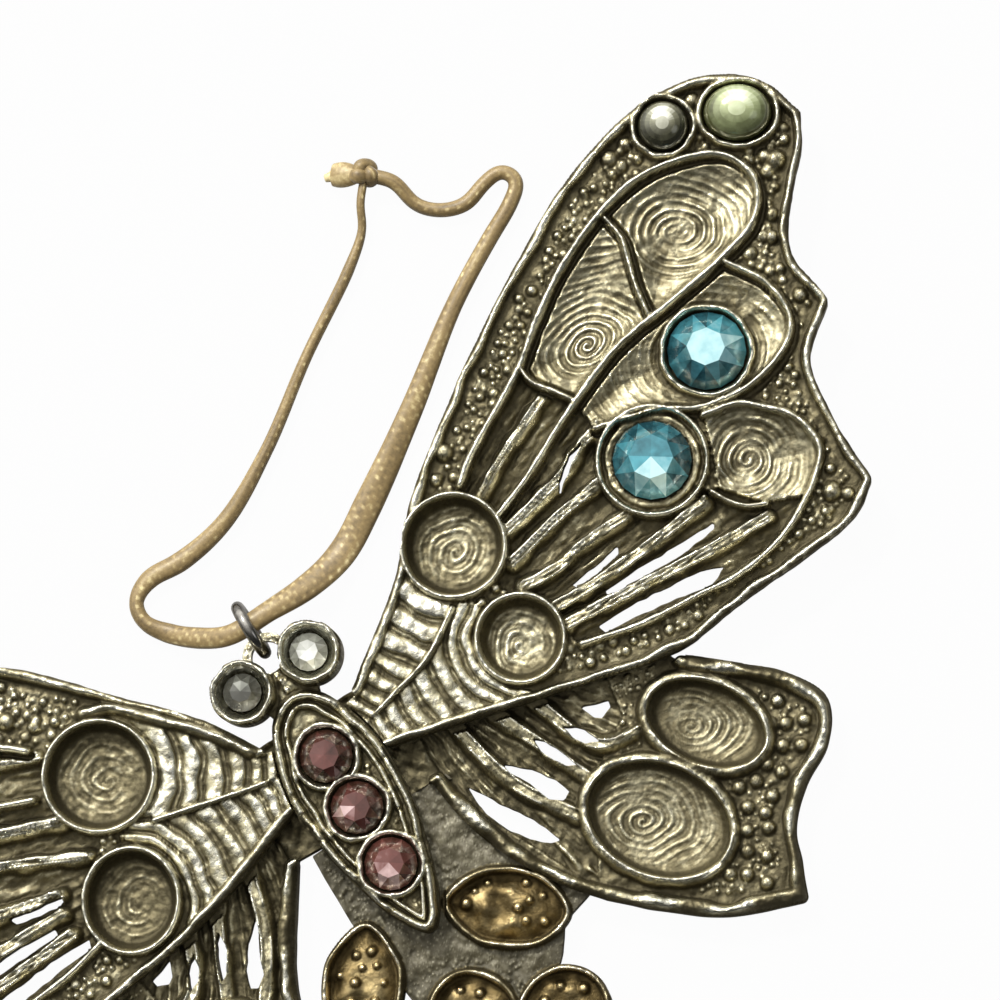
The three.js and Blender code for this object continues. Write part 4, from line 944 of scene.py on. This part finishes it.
# Rimmed cell of the spray: an uneven warm floor with a few beads
def spray_cell(f, cell, n, rng):
    hollow = cell < -0.42
    floor = LOWER_PLATE - 0.32 + 0.4 * smooth(-0.4, -1.6, cell) + 0.2 * f.noise(0.8, 308 + n)
    f.level(hollow, floor, 0.58 + 0.15 * f.noise(0.8, 320 + n))
    f.warm[cell < 0.1] = 0.3
    f.warm[hollow] = 0.9
    spots = np.argwhere(cell < -0.75)
    kept = []
    for k in rng.integers(0, len(spots), BEAD_TRIES):
        x, y = f.xs[spots[k, 0]], f.ys[spots[k, 1]]
        if len(kept) < BEADS and all(math.hypot(x - a, y - b) > BEAD_SPACING for a, b in kept):
            kept.append((x, y))
            f.grain(x, y, 0.22 + 0.14 * rng.random(), f.z[tuple(spots[k])] - 0.08, tall=1.2)
    depth = np.where(cell > -0.7, -cell, -1)
    f.rim(depth, width=0.45, root=LOWER_PLATE - 0.5, top=LOWER_RIM_TOP - 0.2, seed=330 + n, dark=0.6)


# Flower spray: back web, two rimmed leaves and a rimmed flower
def flower_spray():
    f = Relief((-8.4, -25.6), (9.2, -1.8), STEP, level=LOWER_PLATE - 0.08, tone=0.6)
    cells = [f.signed(shape) for shape in [*[leaf_outline(*leaf) for leaf in LEAVES], *petal_outlines()]]
    web = f.signed(WEB)
    boss = np.hypot(f.x - FLOWER[0], f.y - FLOWER[1])
    f.edge = np.minimum.reduce([web, boss - PETAL_REACH, *cells])
    f.edge += 0.03 * (1 + f.noise(0.9, 305))
    f.warm[:] = -0.9
    f.rough(0.07, 0.3, 321)
    f.rough(0.14, 0.8, 322)
    beside = f.signed(body_outline()) - BODY_RIM_WIDTH / 2
    # Painted shade on the web beside the body, left of its middle; the web is also darker toward its edge
    f.tone += 0.35 * smooth(1.3, 0.2, beside) * smooth(0.6, -0.4, f.x) + 0.3 * smooth(-0.9, -0.1, f.edge)
    f.tone += 0.12 * f.noise(1.6, 323)
    f.granules(web < -0.2, LOWER_PLATE - 0.12, seed=301, tries=2500, sizes=(0.08, 0.15), tall=0.6)
    rng = np.random.default_rng(307)
    for n, cell in enumerate(cells):
        spray_cell(f, cell, n, rng)
    dome = LOWER_PLATE + BOSS_HEIGHT * np.sqrt(np.clip(1 - (boss / BOSS_RADIUS) ** 2, 0, 1)) - 0.15
    f.lift(boss < BOSS_RADIUS, dome, f.tone)
    for inner, side in ((HIND_INNER_RIGHT, 1), (HIND_INNER_LEFT, -1)):
        lines = [curve([(side * x, y) for x, y in points]) for points in (HIND_OUTER, HIND_LOWER, inner)]
        f.trim(-0.05 - f.bordered(lines)[2])
    f.level(beside < SOLDER_GAP, np.minimum(f.z, LOWER_PLATE - 0.02), f.tone)
    return f


# Flat-back stone, cut to a point, to a flat table or to a dome
def stone_mesh(name, stone, cut):
    x, y, rx, ry, turn, deck, height = stone
    rise = height - GIRDLE
    domed = cut == "domed"
    crown = DOME if domed else [(TABLE_SIZE[cut], 0.92)]
    rings = [(1.0, 0.0), (1.0, GIRDLE), *[(r, GIRDLE + rise * t) for r, t in crown]]

    def point(r, z, a):
        u, v = turned(r * rx * math.cos(a), r * ry * math.sin(a), turn)
        return Vector((x + u, y + v, deck + z)) * MM

    bm = bmesh.new()
    loops = []
    for k, (r, z) in enumerate(rings):
        n = DOME_SIDES if domed else FACET_SIDES if k < 2 else FACET_SIDES // 2
        loops.append([bm.verts.new(point(r, z, 2 * math.pi * i / n + 0.2)) for i in range(n)])
    bm.faces.new(loops[0][::-1])
    for low, high in zip(loops, loops[1:] if domed else loops[1:2]):
        for corners in zip(low, low[1:] + low[:1], high[1:] + high[:1], high):
            bm.faces.new(corners)
    rim, table = loops[1], loops[-1]
    following = table[1:] + table[:1]
    if cut == "pointed":
        tip = bm.verts.new(point(0.0, GIRDLE + rise * 0.94, 0.0))
        for a, b in zip(table, following):
            bm.faces.new((a, b, tip))
    else:
        bm.faces.new(table)
    if not domed:
        for a, b, c, p, q in zip(rim[::2], rim[1::2], rim[2::2] + rim[:1], table, following):
            bm.faces.new((a, b, p))
            bm.faces.new((b, q, p))
            bm.faces.new((b, c, q))
    bmesh.ops.recalc_face_normals(bm, faces=bm.faces)
    mesh = bpy.data.meshes.new(name)
    bm.to_mesh(mesh)
    bm.free()
    if domed:
        mesh.polygons.foreach_set("use_smooth", np.ones(len(mesh.polygons), bool))
    return mesh


# Each facet's share of the light from the foil behind the stone, painted into its colour as a reflection and
# painted darker toward the stone's edge. A gleam is a painted highlight: its place toward the picture's
# right and top, its size and its strength.
def foil_light(mesh, stone, seed, base, gleams, spread):
    x, y, rx, _, _, deck, _ = stone
    rng = np.random.default_rng(seed)
    painted_foil_light = []
    for face in mesh.polygons:
        off = (face.center / MM - Vector((x, y, deck))) / rx
        value = base + spread * (rng.random() - 0.5)
        for to_right, to_top, size, strength in gleams:
            place = right * to_right + up * to_top
            value += strength * math.exp(-((off.x - place.x) ** 2 + (off.y - place.y) ** 2) / (2 * size**2))
        painted_foil_light.append(value - 0.35 * float(smooth(0.66, 1.0, math.hypot(off.x, off.y))))
    return np.clip(painted_foil_light, 0, 1)


def stone_piece(name, stone, sink, seed, base, gleams, cut="pointed"):
    x, y, rx, ry, turn, deck, height, _ = stone
    seated = (x, y, rx - sink - STONE_FIT, ry - sink - STONE_FIT, turn, deck, height)
    mesh = stone_mesh(name, seated, cut)
    paint(mesh, "painted_foil_light", foil_light(mesh, seated, seed, base, gleams, FACET_SPREAD[cut]), "FACE")
    return put(name, mesh)


# Satin: long threads, and rows of raised stitches whose bright dots are painted glints, by the place along
# the cord and the angle round it
def braid(s, a, rows=(1.15,)):
    s, a = np.broadcast_arrays(s, a)
    total = 0.5 * noise(0.3 * s, 2.6 * a, 0.5, 401) + 0.3 * noise(s, 2.0 * a, 1.7, 402)
    for k, place in enumerate(rows):
        shift = 0.9 * noise(s, 9.0 * k, 1.6, 403)
        dots = smooth(0.0, 0.8, np.cos(2 * np.pi * s / 0.62 + 2.4 * k + shift))
        dots = dots * np.clip(0.6 + 0.8 * noise(s, 7.0 * k, 0.9, 404 + k), 0, 1)
        total = total + 1.2 * np.exp(-(((a - place - 0.1 * shift) / 0.19) ** 2)) * dots
    return total


# Woven tube along a path, with a section that changes along it: half width, half height, twist
def woven_tube(name, path, half_width, half_height, twist, around, weave_and_glints):
    tangent = np.gradient(path, axis=0)
    tangent /= np.linalg.norm(tangent, axis=1)[:, None]
    side = np.cross(tangent, (0, 0, 1))
    side /= np.maximum(np.linalg.norm(side, axis=1), 1e-6)[:, None]
    top = np.cross(side, tangent)
    s = distances(path)[:, None]
    a = np.linspace(0, 2 * np.pi, around, endpoint=False)[None, :]
    swell = 1 + 0.03 * braid(s, a)
    u, v = half_width[:, None] * np.cos(a) * swell, half_height[:, None] * np.sin(a) * swell
    c, d = np.cos(twist)[:, None], np.sin(twist)[:, None]
    u, v = u * c - v * d, u * d + v * c
    rings = path[:, None, :] + u[:, :, None] * side[:, None, :] + v[:, :, None] * top[:, None, :]
    n = len(path)
    points = np.vstack([rings.reshape(-1, 3), rings[0].mean(0)[None], rings[-1].mean(0)[None]])
    j = np.arange(around)
    k = (j + 1) % around
    last = (n - 1) * around
    caps = [np.column_stack([k, j, np.full(around, n * around)]),
            np.column_stack([last + j, last + k, np.full(around, n * around + 1)])]
    mesh = fill_mesh(name, points, [grid_faces(n, around), *caps])
    paint(mesh, "weave_and_glints", np.r_[weave_and_glints(s, a).ravel(), 0.5, 0.5])
    return put(name, mesh)


# Cord, lying on the floor but for the ring and the knot, where it is lifted
def cord_line():
    route = [CORD_IN_KNOT[0], *CORD_ROUTE, CORD_IN_KNOT[1]]
    points = np.array([p if len(p) == 3 else (*p, CORD_HALF_HEIGHT + 0.05) for p in route], float)
    path = curve(points, 0.11)
    for _ in range(CORD_SMOOTHING):
        path[1:-1] = (path[:-2] + 2 * path[1:-1] + path[2:]) / 4
    places = [np.argmin(np.linalg.norm(path - p, axis=1)) for p in points]
    widths = [CORD_HALF_WIDTH[0], *CORD_HALF_WIDTH, CORD_HALF_WIDTH[-1]]
    return path, np.interp(np.arange(len(path)), places, widths)


def cord_piece(path, half_width):
    half_height = np.minimum(CORD_HALF_HEIGHT, half_width * 1.1)
    broad = smooth(0.5, 0.65, half_width)[:, None]

    def weave_and_glints(s, a):
        return 0.36 + 0.46 * ((1 - broad) * braid(s, a) + broad * braid(s, a, BROAD_STITCHES))

    return woven_tube("cord", path, half_width, half_height, 0.2 * np.sin(distances(path) / 3.4), 24, weave_and_glints)


# Knot: one turn of the cord through itself, its short end and the end's loose wisps
def knot_piece():
    t = np.linspace(0, 2 * np.pi, 140)
    x, y = 0.19 * (np.sin(t) + 2 * np.sin(2 * t)), 0.15 * (np.cos(t) - 2 * np.cos(2 * t))
    coil = np.column_stack([*turned(x, y, KNOT_TURN), -0.34 * np.sin(3 * t)]) + KNOT
    thick = 0.43 + 0.06 * np.sin(5 * t)
    tail = curve(KNOT_TAIL, 0.08)
    swell = np.sin(2.3 * np.linspace(0, 1, len(tail)))
    pieces = [(coil, thick, 0.9 * thick), (tail, 0.42 + 0.34 * swell, 0.34 + 0.14 * swell)]
    for k, lean in enumerate(WISP_LEANS):
        tip = (17.35 + lean, 31.22 + 0.06 * k, 0.5)
        wisp = curve([(17.9, 30.9, 0.7), (17.55 + lean * 0.6, 31.1, 0.6), tip], 0.08)
        pieces.append((wisp, np.linspace(0.42, 0.24, len(wisp)), np.linspace(0.34, 0.2, len(wisp))))
    made = []
    for k, (path, wide, tall) in enumerate(pieces):
        made.append(woven_tube("knot", path, wide, tall, 0 * wide, 16,
                               lambda s, a: 0.3 + 0.3 * k + 0.4 * braid(s, a)))
    knot = join(made)
    knot.name = "knot"
    return knot


def join(pieces):
    chosen = {"active_object": pieces[0], "object": pieces[0], "selected_objects": pieces,
              "selected_editable_objects": pieces}
    with bpy.context.temp_override(**chosen):
        bpy.ops.object.join()
    return pieces[0]


def ring_piece():
    a, b = (np.linspace(0, 2 * np.pi, n, endpoint=False) for n in RING_SIDES)
    a, b = np.meshgrid(a, b, indexing="ij")
    out = RING_RADIUS + RING_WIRE / 2 * np.cos(b)
    place = (RING_WIRE / 2 * np.sin(b), RING_CENTRE[1] + out * np.cos(a), RING_CENTRE[2] + out * np.sin(a))
    points = np.column_stack([v.ravel() for v in place])
    faces = grid_faces(*RING_SIDES, closed=True)[:, [0, 3, 2, 1]]
    return put("jump_ring_wire", fill_mesh("jump_ring_wire", points, [faces]))


# Nodes of a material or of the world; an input takes a value or another node's output
class Shading:
    def __init__(self, owner):
        owner.use_nodes = True
        self.tree = owner.node_tree

    def feed(self, node, inputs):
        for key, value in inputs.items():
            if isinstance(value, bpy.types.NodeSocket):
                self.tree.links.new(value, node.inputs[key])
            else:
                node.inputs[key].default_value = value

    def node(self, kind, inputs, out=0, **settings):
        made = self.tree.nodes.new("ShaderNode" + kind)
        for key, value in settings.items():
            setattr(made, key, value)
        self.feed(made, inputs)
        return made.outputs[out]

    def surface(self, inputs):
        self.feed(self.tree.nodes["Principled BSDF"], inputs)

    def attribute(self, name):
        return self.node("Attribute", {}, "Fac", attribute_name=name)

    def place(self, kind="Object"):
        return self.node("TexCoord", {}, kind)

    def speckle(self, place, scale, detail=2, roughness=0.5):
        inputs = {"Vector": place, "Scale": scale, "Detail": detail, "Roughness": roughness}
        return self.node("TexNoise", inputs, "Fac")

    def calc(self, operation, *values, clamp=False):
        return self.node("Math", dict(enumerate(values)), operation=operation, use_clamp=clamp)

    def remap(self, value, low, high, to_low, to_high):
        return self.node("MapRange", {"Value": value, "From Min": low, "From Max": high, "To Min": to_low,
                                      "To Max": to_high})

    def ramp(self, value, stops):
        made = self.tree.nodes.new("ShaderNodeValToRGB")
        elements = made.color_ramp.elements
        for element, (position, colour) in zip(elements, (stops[0], stops[-1])):
            element.position = position
            element.color = (*colour, 1)
        for position, colour in stops[1:-1]:
            elements.new(position).color = (*colour, 1)
        self.feed(made, {"Fac": value})
        return made.outputs["Color"]

    def mix(self, share, first, colour, blend):
        inputs = {"Factor": share, 6: first, 7: (*colour, 1)}
        return self.node("Mix", inputs, 2, data_type="RGBA", blend_type=blend)

    def bump(self, height, strength, distance):
        return self.node("Bump", {"Height": height, "Strength": strength, "Distance": distance})

    # One shader for what the camera sees, by a share, and another for the rest of the light
    def seen(self, output, share, other, camera):
        mixed = self.node("MixShader", {"Fac": share, 1: other, 2: camera})
        self.feed(self.tree.nodes[output], {"Surface": mixed})


# Darker and duller with the patina and painted shade; amber where it is warm, grey like old solder where it
# is cold
def metal_material():
    mat = bpy.data.materials.new("antique_pewter")
    s = Shading(mat)
    warm = s.attribute("warm")
    speck = s.speckle(s.place(), 3000, 6, 0.65)
    dark = s.calc("ADD", s.attribute("patina_and_shade"), s.calc("MULTIPLY_ADD", speck, 0.7, -0.35), clamp=True)
    tone = s.ramp(dark, [(0.0, (0.79, 0.775, 0.665)), (0.3, (0.475, 0.44, 0.3)), (0.65, (0.172, 0.15, 0.09)),
                         (1.0, (0.1, 0.087, 0.053))])
    amber = s.mix(s.remap(warm, 0.0, 1.0, 0.0, 1.0), tone, (0.97, 0.8, 0.56), "MULTIPLY")
    grey = s.mix(s.remap(warm, 0.0, -1.0, 0.0, 0.65), amber, (0.066, 0.06, 0.04), "MIX")
    s.surface({"Base Color": grey, "Metallic": s.remap(warm, -1.0, -0.1, 0.1, 1.0),
               "Roughness": s.remap(dark, 0.0, 1.0, 0.16, 0.6), "Normal": s.bump(speck, 0.7, 0.1 * MM)})
    return mat


def stone_material(name, light, middle, deep):
    mat = bpy.data.materials.new(name)
    s = Shading(mat)
    cloud = s.speckle(s.place(), 1500, 4)
    painted_foil_light = s.calc("MULTIPLY_ADD", cloud, 0.5, s.calc("SUBTRACT", s.attribute("painted_foil_light"), 0.25))
    tone = s.ramp(painted_foil_light, [(0.05, deep), (0.5, middle), (0.95, light)])
    s.surface({"Base Color": tone, "Metallic": 0.25, "Roughness": 0.18, "Coat Weight": 0.8,
               "Coat Roughness": 0.06})
    return mat


def steel_material():
    mat = bpy.data.materials.new("ring_steel")
    s = Shading(mat)
    scratch = s.speckle(s.place(), 3000)
    tone = s.ramp(scratch, [(0.0, (0.09, 0.085, 0.08)), (1.0, (0.45, 0.435, 0.41))])
    s.surface({"Base Color": tone, "Metallic": 1.0, "Roughness": s.remap(scratch, 0.0, 1.0, 0.12, 0.3)})
    return mat


def cord_material():
    mat = bpy.data.materials.new("satin_cord")
    s = Shading(mat)
    thread = s.calc("MULTIPLY", s.speckle(s.place(), 5000, 4), 0.4)
    weave_and_glints = s.calc("MULTIPLY_ADD", s.attribute("weave_and_glints"), 0.6, thread)
    # The bright end of the ramp paints the stitches' glints
    tone = s.ramp(weave_and_glints, [(0.15, (0.12, 0.085, 0.042)), (0.5, (0.34, 0.245, 0.11)),
                          (0.85, (0.9, 0.77, 0.42))])
    s.surface({"Base Color": tone, "Roughness": 0.42, "Sheen Weight": 0.6, "Sheen Roughness": 0.3,
               "Normal": s.bump(weave_and_glints, 0.4, 0.05 * MM)})
    return mat


# One material for each slot; a stone's colours are its light, its middle and its depth, chosen by the
# painted foil light
MATERIALS = {
    "pewter": metal_material(),
    "satin_cord": cord_material(),
    "ring_steel": steel_material(),
}
STONE_COLOURS = {
    "blue_stone": ((0.62, 0.93, 0.98), (0.10, 0.42, 0.52), (0.012, 0.06, 0.08)),
    "rose_stone": ((0.85, 0.62, 0.62), (0.18, 0.06, 0.052), (0.035, 0.013, 0.009)),
    "clear_stone": ((0.95, 0.97, 0.94), (0.34, 0.35, 0.31), (0.07, 0.07, 0.06)),
    "green_stone": ((0.85, 0.92, 0.68), (0.4, 0.46, 0.24), (0.09, 0.10, 0.04)),
    "smoky_stone": ((0.75, 0.76, 0.66), (0.2, 0.2, 0.13), (0.03, 0.03, 0.018)),
}
for slot, colours in STONE_COLOURS.items():
    MATERIALS[slot] = stone_material(slot, *colours)


def settle(piece, node, slot, carrier="ornament"):
    piece.data.materials.append(MATERIALS[slot])
    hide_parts(node)
    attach(piece, carrier)


# Cord and knot
cord_path, half_width = cord_line()
cord = cord_piece(cord_path, half_width)
knot = knot_piece()
settle(cord, "hanging_cord", "satin_cord", "hanger")
settle(knot, "cord_knot", "satin_cord", "hanger")

# Castings
settle(casting("forewing_right_cast", forewing(RIGHT), LOWER_PLATE), "forewing_right", "pewter")
settle(casting("forewing_left_cast", forewing(LEFT), LOWER_PLATE, True), "forewing_left", "pewter")
hind_right = hindwing(HIND_INNER_RIGHT, [*OPENINGS, INNER_OPENING], RIGHT)
settle(casting("hindwing_right_cast", hind_right, 0.0), "hindwing_right", "pewter")
hind_left = hindwing(HIND_INNER_LEFT, OPENINGS, LEFT)
settle(casting("hindwing_left_cast", hind_left, 0.0, True), "hindwing_left", "pewter")
settle(casting("flower_spray_cast", flower_spray(), 0.0), "flower_spray", "pewter")
body_cast = join([casting("body_cast", body(), LOWER_PLATE), casting("lug", lug(), LUG_LEVEL)])
settle(body_cast, "body", "pewter")

# Stones: painted brightness without a gleam, painted highlights (gleams) and cut
GEMS = {
    "blue_outer": (BLUES[0], 0.22, [(0.27, 0.08, 0.36, 0.85)], "flat"),
    "blue_inner": (BLUES[1], 0.27, [(0.04, -0.48, 0.3, 0.85)], "pointed"),
    "green": (GREEN, 0.2, [(0.05, 0.35, 0.34, 0.75)], "domed"),
    "smoky": (SMOKY, 0.12, [(0.0, 0.4, 0.36, 1.0)], "domed"),
}
# Eye and body stones: painted brightness without a gleam, and painted highlights (gleams)
EYE_LOOKS = {"right": (0.45, [(0.2, -0.3, 0.45, 0.6)]), "left": (0.0, [(0.0, 0.4, 0.25, 0.5)])}
ROSE_LOOKS = {"upper": (0.24, [(0.0, -0.1, 0.22, 0.3)]), "middle": (0.28, [(-0.42, -0.3, 0.22, 0.75)]),
              "lower": (0.42, [(0.0, -0.6, 0.3, 0.6)])}


def wing_stones(hand, side):
    for k, (kind, (stone, *look)) in enumerate(GEMS.items()):
        x, y, rx, ry, turn, *levels = stone
        there = (side * x, y, rx, ry, side * turn, *levels)
        piece = stone_piece(f"{kind}_gem_{hand}", there, WING_SINK, 1 + k, *look)
        colour, *place = kind.split("_")
        settle(piece, "_".join([colour, "stone", *place, hand]), f"{colour}_stone")


wing_stones("right", 1)
wing_stones("left", -1)
for k, (hand, look) in enumerate(EYE_LOOKS.items()):
    piece = stone_piece(f"eye_gem_{hand}", EYES[k], EYE_SINK, 5 + k, *look)
    settle(piece, f"eye_stone_{hand}", "clear_stone")
for stone, (place, look) in zip(ROSES, ROSE_LOOKS.items()):
    piece = stone_piece(f"body_gem_{place}", stone, ROSE_SINK, 8, *look)
    settle(piece, f"body_stone_{place}", "rose_stone")

settle(ring_piece(), "jump_ring", "ring_steel", "hanger")


# Floor that the camera sees as white
def stage():
    bm = bmesh.new()
    bmesh.ops.create_grid(bm, x_segments=1, y_segments=1, size=1.5)
    mesh = bpy.data.meshes.new("floor")
    bm.to_mesh(mesh)
    bm.free()
    floor = put("floor", mesh)
    floor.location.z = -0.04 * MM
    mat = bpy.data.materials.new("floor")
    s = Shading(mat)
    s.surface({"Base Color": (0.4, 0.4, 0.4, 1), "Roughness": 0.9})
    share = s.calc("MULTIPLY", s.node("LightPath", {}, "Is Camera Ray"), 0.97)
    glow = s.node("Emission", {"Strength": 1.0})
    s.seen("Material Output", share, s.tree.nodes["Principled BSDF"].outputs["BSDF"], glow)
    mesh.materials.append(mat)


def lamp(name, place, size, power, colour):
    data = bpy.data.lights.new(name, "AREA")
    data.shape = "DISK"
    data.size = size
    data.energy = power
    data.color = colour
    light = put(name, data)
    light.location = place
    light.rotation_euler = (TARGET - place).to_track_quat("-Z", "Y").to_euler()


# Room with one bright side, in soft patches, that the camera sees as white
def surroundings():
    world = bpy.data.worlds.new("room")
    bpy.context.scene.world = world
    s = Shading(world)
    place = s.place("Generated")
    bright = (ahead * 0.4 + up * 0.78 - right * 0.46).normalized()
    toward = s.node("VectorMath", {0: place, 1: bright}, "Value", operation="DOT_PRODUCT")
    patch = s.speckle(place, 2.2)
    light = s.calc("MULTIPLY_ADD", patch, 0.5, s.calc("SUBTRACT", toward, 0.25))
    steps = [(at, (level, level * 0.98, level * 0.93))
             for at, level in ((0.2, 0.05), (0.4, 0.17), (0.6, 0.36), (0.8, 0.8), (1.0, 1.0))]
    tone = s.ramp(light, [(0.0, (0.03, 0.03, 0.028)), *steps])
    sky = s.tree.nodes["Background"]
    s.feed(sky, {"Color": tone, "Strength": 2.4})
    white = s.node("Background", {"Color": (1, 1, 1, 1)})
    s.seen("World Output", s.node("LightPath", {}, "Is Camera Ray"), sky.outputs["Background"], white)


stage()
lamp("key", TARGET + ahead * 0.25 + up * 0.28 - right * 0.17, 0.05, 1.1, (1.0, 0.98, 0.94))
lamp("fill", TARGET + ahead * 0.35 + right * 0.25, 0.2, 0.1, (0.96, 0.98, 1.0))
surroundings()
bpy.context.scene.view_settings.view_transform = "Standard"
